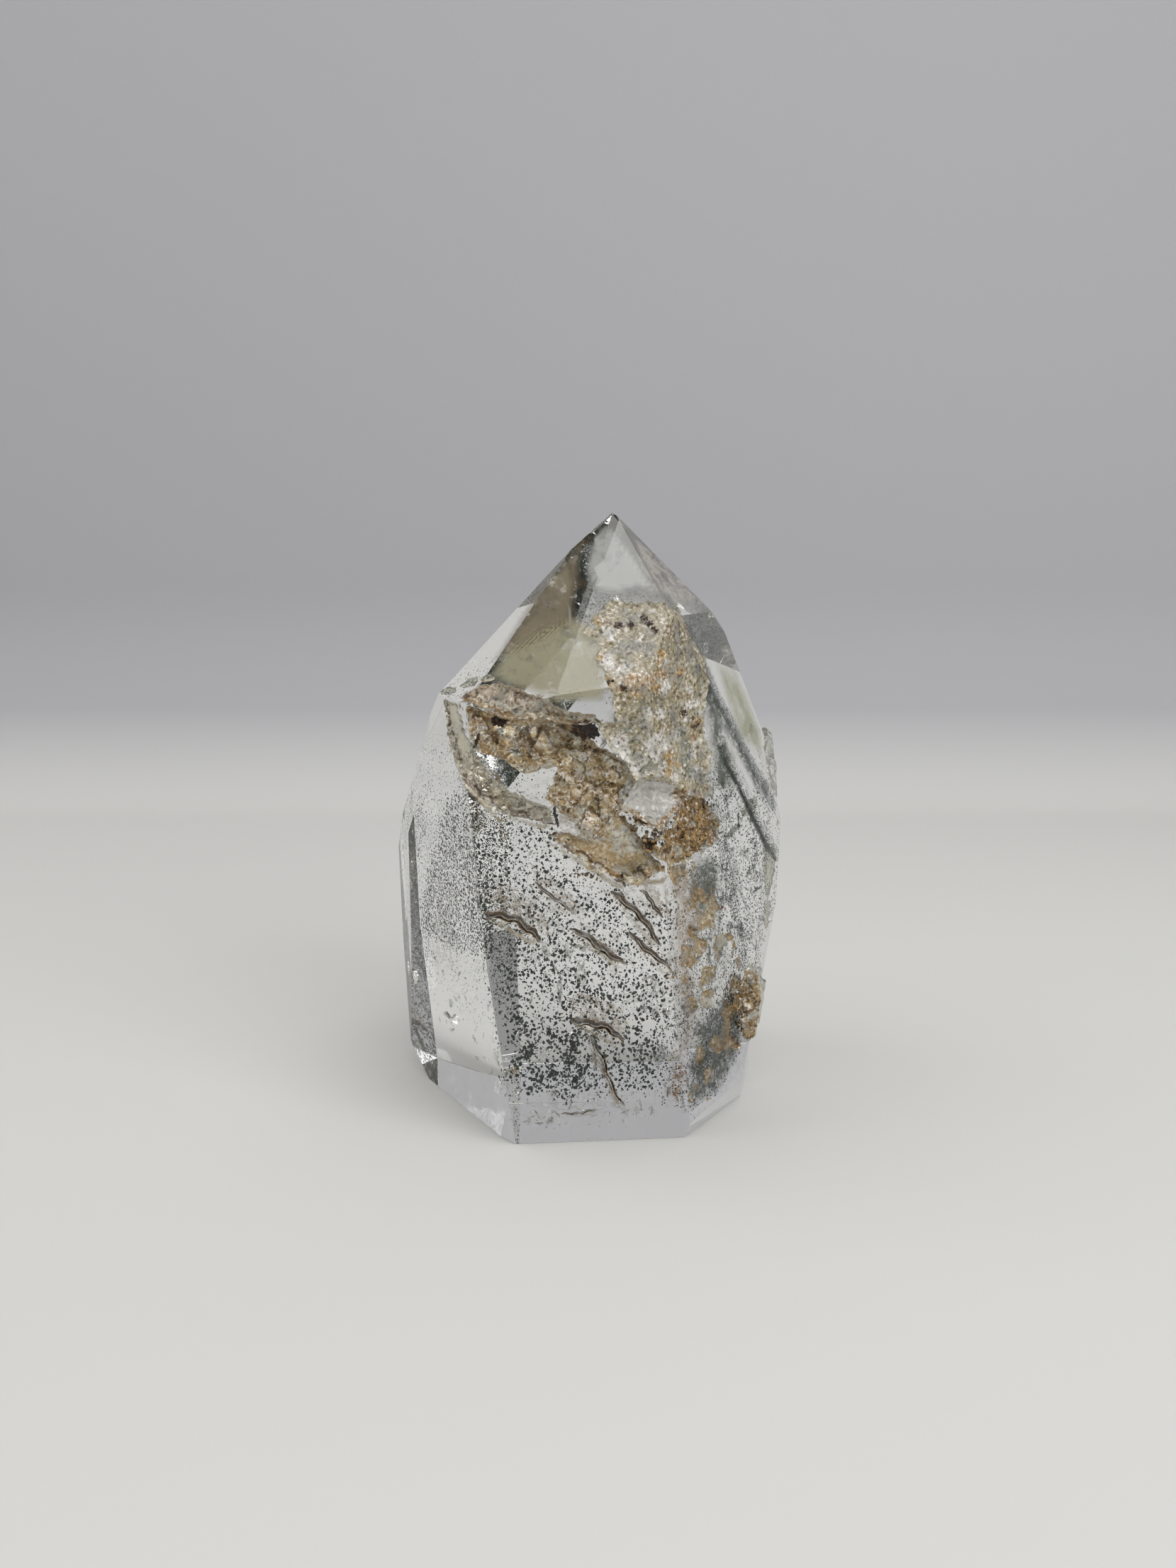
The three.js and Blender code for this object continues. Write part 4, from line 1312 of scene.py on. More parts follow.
def mineral(name, dark, light, size_mm, roughness=0.8, ior=SUNK_IOR):
    """An opaque mineral whose colour wanders between two tones."""
    material, tree, place = new_material(name)
    tone = add(tree, "ShaderNodeTexNoise", {"Vector": place, "Scale": pattern(size_mm), "Detail": 5})
    share = add(tree, "ShaderNodeMapRange", [tone, 0.38, 0.66])
    colour = add(tree, "ShaderNodeMix", {"Factor": share, "A": paint(dark), "B": paint(light)},
                 data_type="RGBA")
    grit = add(tree, "ShaderNodeTexNoise", {"Vector": place, "Scale": pattern(0.12), "Detail": 3})
    bump = add(tree, "ShaderNodeBump", {"Height": grit, "Strength": 0.4, "Distance": 0.04 * MM})
    shader = add(tree, "ShaderNodeBsdfPrincipled", {
        "Base Color": colour, "Roughness": roughness, "IOR": ior, "Normal": bump})
    add(tree, "ShaderNodeOutputMaterial", [shader])
    return material


CHLORITE_GRAINS = mineral("chlorite_grains", "#1B241F", "#48584C", 1.2)
CHLORITE_DUST = mineral("chlorite_dust", "#38463C", "#7A8A7E", 0.8)
FRONT_FIELD = [
    (-13.2, 37.4), (-11.4, 38.4), (-8.4, 38.7), (-4.4, 38.9), (-2.4, 36.6), (-1.6, 33.2), (1.6, 31.2),
    (6.2, 29.6), (9.6, 29), (10.2, 26), (10.3, 20.8), (9.9, 13), (9.4, 6.3), (4.8, 5.4), (-2.5, 4.8),
    (-9, 6.2), (-10.2, 13.7), (-11.2, 22.6), (-12.4, 23), (-13.2, 31.8),
]
LOW_FIELD = [
    (-10.6, 24), (-4, 26), (2, 22), (9.6, 20), (9.6, 13), (9, 6.3), (4.8, 5.4), (-2.5, 4.8),
    (-9, 6.2), (-10, 13.7),
]
MOSS = [
    (-9.4, 15.6), (-6.5, 15.2), (-2, 15.8), (2, 13.8), (4.4, 9.2), (4, 5.6), (-2.5, 5.2), (-8.1, 6.5),
    (-9.2, 10),
]
LEFT_FIELD = [
    (7.9, 43.4), (8.4, 36.8), (9.2, 31.8), (10, 22.6), (-0.1, 21.2), (-9.4, 21.1), (-8, 26),
    (-2.2, 35), (2, 41),
]
RIGHT_FIELD = [
    (4.1, 44.5), (7.7, 43), (12.2, 39.1), (15.6, 33.4), (15.8, 29.3), (13.7, 24), (11.1, 17.6),
    (8.5, 13.6), (3.5, 4.2), (-5.6, 3), (-7.6, 4.9), (-7.3, 12.9), (-5.2, 17.7), (-2.5, 22.4), (1.1, 29.8),
    (3.9, 34.8),
]
POINT_FIELD = [
    (-3.7, 58.2), (-1.2, 59.6), (1.2, 57.7), (0.9, 54.8), (1.6, 53.3), (-0.4, 51.6), (-2.4, 51.6),
    (-6.9, 54.3), (-6.2, 56.7),
]
LEFT = View(-57)
# name, view, outline, how far its presence fades, the layers' depths, and the first one's seed
BEDS = [
    ("chlorite_front_{}", FRONT, FRONT_FIELD, 1.2, (0.7, 2.0, 3.8), 1),
    ("chlorite_front_low", FRONT, LOW_FIELD, 3.5, (0.9,), 4),
    ("chlorite_moss", FRONT, MOSS, 1.5, (0.8,), 5),
    ("chlorite_left_{}", LEFT, LEFT_FIELD, 1.2, (0.3, 1.2), 6),
    ("chlorite_right_{}", RIGHT, RIGHT_FIELD, 1.2, (0.6, 2.2, 4.2), 8),
    ("chlorite_point", FRONT, POINT_FIELD, 1.2, (0.6,), 11),
]
# Grains per mm2, smallest, largest, clump size, clump threshold, streak and thickness of each bed
HOW_GROWN = (
    "Grains_per_mm2", "Smallest", "Largest", "Clump_size", "Clump_threshold", "Streak", "Thickness")
BED_GRAINS = [
    (4, 0.08, 0.29, 1.1, 0.44, 1, 0.9), (13, 0.09, 0.32, 0.9, 0.54, 1, 0.6),
    (32, 0.10, 0.34, 1.3, 0.56, 1, 0.7), (7, 0.09, 0.21, 2, 0.30, 1, 0.9),
    (4.6, 0.06, 0.17, 1.2, 0.40, 1.6, 1), (4, 0.03, 0.08, 1.5, 0.40, 1, 0.8),
]
for (name, view, outline, fade, depths, seed), values in zip(BEDS, BED_GRAINS):
    for layer, depth in enumerate(depths):
        bed = sheet_under(name.format(layer), view, [outline], depth, fade=fade)
        grown(bed, GRAINS, CHLORITE_GRAINS, Seed=seed + layer, **dict(zip(HOW_GROWN, values)))

# %% [markdown]
# ## Phantoms seen edge on
# Where a phantom lies along the line of sight it shows as a thin dark line, and three of them do so behind
# the right front. The camera's line of sight bends as it enters the stone, so each ribbon follows the bent
# line, worked out with Snell's law. Green haze of the finest chlorite hangs beside them, and soft films
# laid over the two long lines further down draw them together.

# %% Edge-on phantoms
SHARP_LINE = [(4.9, 46.3), (6.4, 43.9), (8.4, 41.6), (10.4, 38.7), (12.8, 34.9), (14.5, 32.3), (16.5, 29.8)]
FUZZY_LINE = [
    (0.4, 61.1), (1.2, 58.7), (3.2, 54.9), (5, 51.6), (8.2, 47.8), (11, 44.2), (13.9, 40.1),
    (16.6, 36.4),
]
UPRIGHT_LINE = [(3.4, 35.4), (4.3, 31.0), (5.4, 26.0), (6.6, 21.0), (6.9, 17.0)]
# name, line, material, how deep it goes in, grains per mm2, largest grain, clump threshold, thickness
for count, (name, line, material, deep, per_mm2, largest, threshold, thickness) in enumerate((
    ("phantom_sharp", SHARP_LINE, CHLORITE_GRAINS, 2.0, 70.0, 0.075, 0.34, 0.50),
    ("phantom_sharp_heart", SHARP_LINE[:6], CHLORITE_GRAINS, 2.0, 60.0, 0.080, 0.36, 1.00),
    ("phantom_sharp_haze", SHARP_LINE, CHLORITE_DUST, 2.0, 70.0, 0.075, 0.32, 1.60),
    ("phantom_fuzzy", FUZZY_LINE, CHLORITE_DUST, 2.6, 130.0, 0.085, 0.28, 1.60),
    ("phantom_fuzzy_heart", FUZZY_LINE[2:7], CHLORITE_GRAINS, 2.6, 34.0, 0.075, 0.38, 1.20),
    ("phantom_upright", UPRIGHT_LINE, CHLORITE_DUST, 3.0, 60.0, 0.110, 0.40, 1.80),
)):
    grown(edge_on_sheet(name, RIGHT, line, deep), GRAINS, material, Grains_per_mm2=per_mm2, Smallest=0.03,
          Largest=largest, Clump_size=1.2, Clump_threshold=threshold, Thickness=thickness, Seed=21 + count)
HAZE_RIGHT = [
    (12.6, 59.4), (14.4, 56.4), (16.6, 50), (18.4, 44.4), (18.6, 40.2), (15.4, 40.8), (14.8, 46),
    (14.2, 50), (12.8, 54),
]
GREEN_STREAKS = [
    [(-2.2, 49.1), (0.6, 50.1), (2.3, 46.8), (3.9, 43.4), (2.9, 39.7), (1.2, 39.9), (-0.6, 42.9)],
    [(3.6, 38.6), (5.8, 38), (6.5, 36.4), (4.3, 37)],
    [(1.7, 33.3), (3.8, 32.7), (3.8, 28.6), (0.6, 25), (-2.5, 27.8), (-1.8, 32.4)],
]
RIGHT_LOW_FIELD = [(-1.0, 13.0), (5.4, 16.0), (8.2, 12.0), (5.6, 6.0), (1.0, 3.0), (-5.4, 3.0), (-5.0, 8.0)]
GREEN_HAZE = [(0.2, 60.5), (3.9, 55.9), (6.0, 51.0), (4.5, 48.5), (1.0, 50.5), (-0.6, 55.0)]
# name, outlines, depth, material, and how it is grown
for count, (name, outlines, depth, material, *values) in enumerate((
    ("chlorite_right_low", [RIGHT_LOW_FIELD], 0.5, CHLORITE_GRAINS, 26.0, 0.06, 0.18, 1.3, 0.42, 1.8, 0.9),
    ("chlorite_streaks", GREEN_STREAKS, 0.9, CHLORITE_GRAINS, 52.0, 0.04, 0.13, 1.1, 0.44, 3.0, 1.2),
    ("chlorite_haze", [GREEN_HAZE], 0.9, CHLORITE_DUST, 24.0, 0.03, 0.08, 1.6, 0.44, 2.0, 1.2),
)):
    bed = sheet_under(name, RIGHT, outlines, depth)
    grown(bed, GRAINS, material, Seed=27 + count, **dict(zip(HOW_GROWN, values)))

# %% [markdown]
# ## Phantoms on the other sides
# The crystal was dusted all round, so the back and the sides have phantoms as well, thinner than those of
# the front.

# %% Phantoms of the back and sides
SIDE_FIELDS = {
    "back": (181, [(-15, 40), (-6, 47), (8, 45), (15, 34), (13, 14), (2, 6), (-12, 9)]),
    "right_back": (112, [(-9, 42), (2, 46), (9, 38), (9, 16), (2, 7), (-8, 12)]),
    "left_back": (-134, [(-10, 34), (-2, 44), (8, 40), (9, 18), (0, 8), (-9, 14)]),
    "far_left": (-72, [(-4, 44), (3, 40), (4, 30), (-2, 26), (-6, 34)]),
}
for count, (side, (azimuth, outline)) in enumerate(SIDE_FIELDS.items()):
    for layer, depth in enumerate((1.0, 3.2)):
        bed = sheet_under(f"chlorite_{side}_{layer}", View(azimuth), [outline], depth, step=1.2, fade=5.0)
        grown(bed, GRAINS, CHLORITE_GRAINS, Grains_per_mm2=5.5, Smallest=0.04, Largest=0.14, Clump_size=2.4,
              Clump_threshold=0.44, Thickness=1.2, Seed=30 + 2 * count + layer)

# %% [markdown]
# ## Iron and clay
# The brown masses are clay and iron oxides that filled old cracks. Each is a bed of crumbs on the broken
# surface, or just inside it, with a few rounded nodules of darker iron. Their colours come from what
# they are: cream and tan clay, brown limonite, rust.

# %% Iron and clay minerals
BROWN_CLAY = mineral("brown_clay", "#58452E", "#A98C60", 0.7, ior=1.3)
TAN_CLAY = mineral("tan_clay", "#967B52", "#CFB88E", 0.6, ior=1.25)
CREAM_CLAY = mineral("cream_clay", "#CDBD9C", "#F2EADA", 0.5, ior=1.25)
LIMONITE = mineral("limonite", "#1E140D", "#4A3526", 0.4, roughness=0.5, ior=1.45)
RUST = mineral("rust", "#7A3A14", "#BC7232", 0.4, ior=1.2)


def broken_bed(name, view, outlines, fade=0.6):
    """The stone's own broken faces under one or more outlines, for crumbs to sit on."""
    mesh = stone.data
    broken = [p for p, kind in zip(mesh.polygons, face_kinds) if kind == BROKEN]
    centres = np.array([p.center for p in broken])
    across, height = seen_from(view, centres)
    wanted = towards(view, centres) & (within_any(outlines, across, height) > 0)
    picked = [p for p, take in zip(broken, wanted) if take]
    corners = sorted({corner for p in picked for corner in p.vertices})
    order = {corner: k for k, corner in enumerate(corners)}
    points = np.array([mesh.vertices[corner].co for corner in corners])
    made = object_from(name, points, [[order[corner] for corner in p.vertices] for p in picked])
    across, height = seen_from(view, points)
    return write_values(made, "presence", ramp(within_any(outlines, across, height), 0, fade))


def spots(places, size):
    """An eight-sided outline round each place."""
    turns = [2 * math.pi * k / 8 for k in range(8)]
    return [[(across + size * math.cos(t), height + 0.8 * size * math.sin(t)) for t in turns]
            for across, height in places]


SKIN, BAY, LEDGE, CRAG, FRONT_CLUMP = (FRONT_BREAKS[name][0] for name in (
    "etched skin", "brown bay", "cream ledge", "craggy mass", "brown clump"))
RIGHT_CLUMP = RIGHT_BREAKS["brown clump, right side"][0]
SKIN_DARK = spots([
    (3.7, 61.1), (5.1, 61.2), (6.6, 61.9), (7.2, 61.3), (8, 60.5), (4.2, 54.1), (2.6, 54.7), (12.9, 48.9),
    (13.6, 49.3), (11.5, 50.8)], 0.62)
SKIN_RUST = spots([
    (8.6, 57.9), (8.3, 55.6), (5.3, 55.4), (5.4, 53.4), (3.8, 54.1), (7.9, 54), (1, 61.4), (12.6, 47.7),
    (9.8, 45.4)], 0.60)
VEIN = [
    (-5.4, 33.1), (-5.6, 25.8), (-6.4, 20.7), (-5.3, 16.2), (-4.8, 12.8), (-7.2, 8.7), (-7.6, 4.9),
    (-5.7, 4.5), (-5, 9.7), (-2.4, 14.3), (-2.2, 20.8), (0, 24.6), (0.3, 31.5),
]
ROUGH_PATCH = [(4.0, 17.9), (7.2, 16.6), (8.0, 12.8), (7.4, 8.6), (4.2, 7.5), (5.1, 10.0), (3.0, 12.8)]
CRUMBS = {"Sides": 5, "Rings": 3, "Sink": -0.25, "Thickness": 0.1, "Flatness": 0.7}
# name, view, outlines, material, crumbs per mm2, largest, clump threshold, seed
for name, view, outlines, material, per_mm2, largest, threshold, seed in (
    ("crumbs_clump_brown", FRONT, [FRONT_CLUMP], BROWN_CLAY, 14.0, 0.34, 0.42, 41),
    ("crumbs_clump_tan", FRONT, [FRONT_CLUMP], TAN_CLAY, 9.0, 0.30, 0.50, 42),
    ("crumbs_clump_dark", FRONT, [FRONT_CLUMP], LIMONITE, 9.0, 0.30, 0.57, 43),
    ("crumbs_right_clump", RIGHT, [RIGHT_CLUMP], BROWN_CLAY, 14.0, 0.32, 0.42, 44),
    ("crumbs_right_clump_tan", RIGHT, [RIGHT_CLUMP], TAN_CLAY, 9.0, 0.28, 0.50, 45),
    ("crumbs_skin_dark", FRONT, SKIN_DARK, LIMONITE, 90.0, 0.21, 0.32, 50),
    ("crumbs_skin_rust", FRONT, SKIN_RUST, RUST, 22.0, 0.16, 0.44, 51),
    ("crumbs_crag", FRONT, [CRAG], BROWN_CLAY, 9.0, 0.26, 0.50, 46),
    ("crumbs_crag_dark", FRONT, [CRAG], LIMONITE, 7.0, 0.20, 0.58, 47),
    ("crumbs_seam", RIGHT, [VEIN], TAN_CLAY, 9.0, 0.20, 0.46, 48),
    ("crumbs_seam_brown", RIGHT, [ROUGH_PATCH], BROWN_CLAY, 14.0, 0.28, 0.44, 49),
):
    grown(broken_bed(name, view, outlines), GRAINS, material, Grains_per_mm2=per_mm2, Smallest=0.07,
          Largest=largest, Clump_size=1.3, Clump_threshold=threshold, Seed=seed, **CRUMBS)

# %% [markdown]
# ## Iron and clay under the surface
# The same minerals also lie a little way in, where cracks carried them before they closed: a vein down the
# right edge, roots under the clump, a cream line beside the skin. They are grown as the chlorite is, on
# sheets under outlines, with a finer grid because the outlines are small.

# %% Iron and clay inside the stone
CREAM_LINE = [
    (-1.3, 61.2), (-0.6, 60.2), (0.4, 59.2), (1.4, 58.4), (0.8, 57.6), (0.4, 56.7), (1.1, 55.8),
    (1.8, 54.9), (2.2, 53.8), (2.8, 52.4), (3.4, 51), (3.9, 49.6),
]
SHOULDER_SPOTS = [(10.4, 50.7), (11.4, 51.4), (11.9, 50.5), (12.8, 49.1), (13.6, 48.2)]
TAN_FLAKE = [(9.4, 46.6), (10.2, 46.2), (10.6, 44.5), (9.6, 43.2), (8.8, 43.6)]
BROWN_VEIN = [
    ROUGH_PATCH, [(-3.4, 21.8), (-2.4, 22.0), (-2.6, 17.8), (-3.4, 18.4)],
    [(5.6, 21), (7.4, 20.4), (7, 18.6), (5.6, 19.2)],
]
VEIN_SLIT = [
    [(-5.3, 16.8), (-4.7, 16.4), (-4.1, 14.8), (-4.7, 12.6), (-5.2, 12.9), (-4.8, 14.9)],
    [(3.6, 26.6), (4.8, 26.2), (4.6, 25.4), (3.7, 25.6)],
]
VEIN_RUST = [
    [(3.4, 27), (5.2, 26.6), (4.8, 25), (3.6, 25.2)],
    [(-6.1, 9), (-4.9, 8.2), (-6.3, 5.6), (-7.4, 5)],
]
TEETH = [
    [(-13.4, 42.4), (-12.4, 41.6), (-11.4, 38.6), (-12, 38), (-13, 40.2)],
    [(-10.6, 39.4), (-9.8, 39.2), (-8.8, 36.2), (-9.3, 35.9), (-10, 37.4)],
]
GREY_BROWN_PATCH = [(-1.6, 33.6), (1.2, 33.6), (2.0, 32.0), (0.2, 31.4), (-1.8, 32.2)]
# name, view, outlines, material, depth, grains per mm2, largest grain, clump threshold
BURIED = [
    ("cream_dust_point", FRONT, [SKIN], CREAM_CLAY, 0.8, 8.0, 0.16, 0.54),
    ("brown_spots_shoulder", FRONT, spots(SHOULDER_SPOTS, 0.75), BROWN_CLAY, 0.7, 44.0, 0.28, 0.36),
    ("tan_flake", FRONT, [TAN_FLAKE], TAN_CLAY, 0.9, 16.0, 0.26, 0.36),
    ("cream_line", FRONT, spots(CREAM_LINE, 0.42), CREAM_CLAY, 0.35, 60.0, 0.13, 0.30),
    ("clump_roots", FRONT, [FRONT_CLUMP], BROWN_CLAY, 2.4, 14.0, 0.32, 0.45),
    ("clump_roots_dark", FRONT, [FRONT_CLUMP], LIMONITE, 2.0, 8.0, 0.30, 0.52),
    ("clump_roots_right", RIGHT, [RIGHT_CLUMP], BROWN_CLAY, 1.6, 14.0, 0.32, 0.44),
    ("vein_tan", RIGHT, [VEIN], TAN_CLAY, 0.8, 9.0, 0.22, 0.44),
    ("vein_cream", RIGHT, [VEIN], CREAM_CLAY, 0.5, 8.0, 0.14, 0.50),
    ("vein_brown", RIGHT, BROWN_VEIN, BROWN_CLAY, 0.8, 20.0, 0.28, 0.40),
    ("vein_slit", RIGHT, VEIN_SLIT, LIMONITE, 0.5, 60.0, 0.16, 0.30),
    ("vein_rust", RIGHT, VEIN_RUST, RUST, 0.7, 26.0, 0.20, 0.40),
    ("teeth", FRONT, TEETH, BROWN_CLAY, 0.6, 46.0, 0.16, 0.36),
    ("grey_brown_patch", FRONT, [GREY_BROWN_PATCH], BROWN_CLAY, 0.8, 26.0, 0.24, 0.36),
    ("bay_stain", FRONT, [BAY], TAN_CLAY, 5.6, 6.0, 0.22, 0.50),
]
for count, (name, view, outlines, material, depth, per_mm2, largest, threshold) in enumerate(BURIED):
    grown(sheet_under(name, view, outlines, depth, step=0.35, fade=0.5), GRAINS, material,
          Grains_per_mm2=per_mm2, Smallest=0.05, Largest=largest, Clump_size=1.0, Clump_threshold=threshold,
          Thickness=1.2, Sides=5, Rings=3, Seed=60 + count)

# %% [markdown]
# ## Dust at the lips of the crevices
# Clay settled on the lower lip of every crevice. It is a narrow strip of dust just under the polish, on an
# outline that is worked out from the crevice itself.

# %% Dust at the lips of the crevices
def lip_outline(start, end, width, depth, lean):
    """A narrow strip along the lower lip of a crevice."""
    start, end = np.array(start), np.array(end)
    way = (end - start) / np.linalg.norm(end - start)
    down = np.array([way[1], -way[0]]) * (1 if way[0] > 0 else -1)
    near, far = 0.16 + 0.18 * width, 0.30 + 0.55 * width
    outer = [start + 0.2 * way, start + way + down * 0.7 * far, end - 1.2 * way + down * far, end]
    return [tuple(corner) for corner in outer + [end - way + down * near, start + way + down * near]]


LIPS = [lip_outline(*crevice) for crevice in CREVICES]
for name, material, per_mm2, threshold, seed in (
    ("lip_dust_cream", CREAM_CLAY, 60.0, 0.42, 81), ("lip_dust_tan", TAN_CLAY, 30.0, 0.50, 82),
    ("lip_dust_brown", BROWN_CLAY, 18.0, 0.54, 83),
):
    bed = sheet_under(name, FRONT, LIPS, 0.25, step=0.3, fade=0.3)
    grown(bed, GRAINS, material, Grains_per_mm2=per_mm2, Smallest=0.03, Largest=0.11, Clump_size=0.8,
          Clump_threshold=threshold, Thickness=0.5, Seed=seed)

# %% [markdown]
# ## Nodules of limonite
# A few rounded lumps of dark iron sit on the broken floors. Each is sunk until only its top shows, and
# never stands out of the stone.

# %% Nodules of limonite
NODULE_TOP = 0.2  # mm of a nodule that stand above the broken floor
NODULE_COVER = 0.05  # mm that it stays below the polish


def set_in(piece, material):
    """Gives a piece its material and lets it ride with the stone."""
    piece.data.materials.append(material)
    piece.data.shade_smooth()
    return riding(piece)


def nodule(name, across, height, half_sizes, seed):
    """A rounded mass that sits on the broken floor at a place of the front."""
    floor_depth = max(0.0, front_depth(across, height))
    depth = max(floor_depth - NODULE_TOP, half_sizes[1] + NODULE_COVER)
    made = lump(name, half_sizes, 0.4, 0.8, seed)
    return set_in(put(made, FRONT, across, height, roll=15 * seed, depth=depth), LIMONITE)


for seed, (across, height, half_sizes) in enumerate((
    (-10, 50.4, (1.15, 0.9, 0.95)), (-0.2, 49.3, (1.9, 1, 1.25)), (-12.6, 48.2, (0.5, 0.5, 1.1)),
    (6.9, 36.2, (1, 0.8, 0.9)), (4, 32, (0.9, 0.6, 0.5)), (-3.6, 39.4, (1.4, 0.6, 0.35)),
)):
    nodule(f"nodule_{seed}", across, height, half_sizes, seed)
print("nodules set")

# %% [markdown]
# ## Cracks and veils
# A crack inside a crystal is a thin gap of air. Edge on it is invisible, and flat on it flashes. When it
# heals it leaves a veil of tiny bubbles, which looks like a wisp of frost. Zones where the quartz grew
# milky, smoky or stained by iron look much the same. All are thin sheets here, mostly see-through, with a
# noise that says where they show.

# %% Materials of cracks and veils
def wisp(name, colour, most, size_mm, low, high, roughness, faded):
    """A thin film that is see-through except where its noise is high."""
    material, tree, place = new_material(name)
    frost = add(tree, "ShaderNodeTexNoise", {
        "Vector": place, "Scale": pattern(size_mm), "Detail": 7, "Roughness": 0.68, "Distortion": 0.6})
    share = add(tree, "ShaderNodeMapRange", [frost, low, high, 0.0, most])
    if faded:
        own = add(tree, "ShaderNodeAttribute", attribute_name="presence").outputs["Fac"]
        share = add(tree, "ShaderNodeMath", [share, own], operation="MULTIPLY")
    film = add(tree, "ShaderNodeBsdfPrincipled", {
        "Base Color": paint(colour), "Roughness": roughness, "IOR": FILM_IOR})
    through = add(tree, "ShaderNodeBsdfTranslucent", {"Color": paint(colour)})
    lit = add(tree, "ShaderNodeMixShader", [0.5, film, through])
    seen = add(tree, "ShaderNodeMixShader", [share, add(tree, "ShaderNodeBsdfTransparent"), lit])
    add(tree, "ShaderNodeOutputMaterial", [seen])
    return material


def air_crack():
    """Mirrors what meets it at a slant, the way the air in a crack does, and lets the rest through."""
    material, tree, place = new_material("air_crack")
    patches = add(tree, "ShaderNodeTexNoise", {"Vector": place, "Scale": pattern(1.4), "Detail": 5})
    open_share = add(tree, "ShaderNodeMapRange", [patches, 0.42, 0.6])
    slant = add(tree, "ShaderNodeLayerWeight", {"Blend": 0.62}).outputs["Fresnel"]
    share = add(tree, "ShaderNodeMath", [open_share, slant], operation="MULTIPLY", use_clamp=True)
    mirror = add(tree, "ShaderNodeBsdfGlossy", {"Color": paint("#FBFAF6"), "Roughness": 0.12})
    seen = add(tree, "ShaderNodeMixShader", [share, add(tree, "ShaderNodeBsdfTransparent"), mirror])
    add(tree, "ShaderNodeOutputMaterial", [seen])
    return material


FILM_IOR = 1.25  # a film of bubbles or clay inside quartz shines much less than one in the open
# name: colour, the most that it hides, the size of its patches in millimetres, the values of its noise
# between which it sets in, roughness, and whether it thins out where its presence is low
FILMS = {
    "healed_crack": ("#EFEEE8", 0.85, 1.6, 0.46, 0.72, 0.45, True),
    "frosted_healed_crack": ("#E4E6DC", 0.90, 0.7, 0.40, 0.66, 0.45, False),
    "stained_healed_crack": ("#D2B79C", 0.60, 1.8, 0.36, 0.66, 0.45, True),
    "clay_film": ("#D9BE94", 0.85, 1.0, 0.42, 0.68, 0.45, False),
    "clay_film_at_lip": ("#E6D3AE", 0.95, 0.9, 0.34, 0.56, 0.70, True),
    "chlorite_dust_film": ("#55655A", 0.70, 1.0, 0.42, 0.70, 0.45, False),
    "chlorite_dust_veil": ("#55655A", 0.75, 1.0, 0.42, 0.70, 0.45, True),
    "chlorite_dust_line": ("#39443C", 1.00, 1.0, 0.22, 0.44, 0.80, True),
    "chlorite_haze_line": ("#69746A", 0.85, 0.8, 0.32, 0.56, 0.80, True),
    "chlorite_haze_zone": ("#727C6C", 0.90, 1.2, 0.32, 0.54, 0.70, True),
    "frosted_quartz_zone": ("#F4F5F1", 0.95, 4.0, 0.22, 0.46, 0.60, True),
    "milky_quartz_zone": ("#F8F2E8", 0.95, 1.8, 0.36, 0.56, 0.60, True),
    "smoky_quartz_zone": ("#B8A98C", 0.92, 5.0, 0.20, 0.50, 0.60, True),
    "pale_quartz_zone": ("#E4DEBA", 0.92, 3.0, 0.20, 0.46, 0.60, True),
    "iron_tinted_zone": ("#D3D4A4", 0.80, 3.0, 0.22, 0.54, 0.60, True),
}
FILMS = {name: wisp(name, *values) for name, values in FILMS.items()}
FILMS["air_crack"] = air_crack()
print(len(FILMS), "films")

# %% [markdown]
# ## Flakes
# A second tree strews small cracks: bent flakes of about a millimetre that face every way, so that
# some of them always flash.

# %% The flake tree
def flake_tree():
    tree, given = new_tree("flakes", {
        "Grains per mm2": 0.5, "Smallest": 0.3, "Largest": 1.2, "Clump size": 3.0, "Clump threshold": 0.35,
        "Streak": 1.0, "Thickness": 3.0, "Sink": 0.35, "Raggedness": 0.5, "Seed": 0})
    disc = add(tree, "GeometryNodeMeshCircle", {"Vertices": 11, "Radius": MM}, fill_type="TRIANGLE_FAN")
    fine = add(tree, "GeometryNodeSubdivideMesh", {"Mesh": disc, "Level": 1})
    reach = add(tree, "ShaderNodeMath", [given["Raggedness"], MM], operation="MULTIPLY")
    least, most = (add(tree, "ShaderNodeVectorMath", {0: way, "Scale": reach}, operation="SCALE")
                   for way in ((-1, -1, -0.5), (0.5, 0.5, 0.5)))
    jitter = add(tree, "FunctionNodeRandomValue", [least, most], data_type="FLOAT_VECTOR")
    ragged = add(tree, "GeometryNodeSetPosition", {"Geometry": fine, "Offset": jitter})
    size = add(tree, "FunctionNodeRandomValue", {
        "Min": given["Smallest"], "Max": given["Largest"], "Seed": 5}, data_type="FLOAT")
    shape = add(tree, "FunctionNodeRandomValue", {0: (0.5, 0.3, 0.6), 1: (1.2, 0.8, 1.0), "Seed": 9},
                data_type="FLOAT_VECTOR")
    scale = add(tree, "ShaderNodeVectorMath", {0: shape, "Scale": size}, operation="SCALE")
    return strewn(tree, given, ragged, scale, seed=3)


FLAKES = flake_tree()
print("flake tree has", len(FLAKES.nodes), "nodes")

# %% [markdown]
# ## Flakes strewn through the stone
# They lie thickest under the skin and just over the base. Some are open cracks, and some are healed or
# filled with clay or chlorite.

# %% Flakes
LOWER_BODY = [(-9.0, 26.0), (8.0, 24.0), (9.0, 8.0), (-8.5, 7.0)]
BASE_BAND = [(-8.5, 6.5), (9.0, 6.0), (8.5, 1.2), (-7.5, 1.2)]
LEFT_LOW = [(8.6, 20.0), (-9.0, 19.0), (-8.0, 8.0), (6.5, 5.0)]
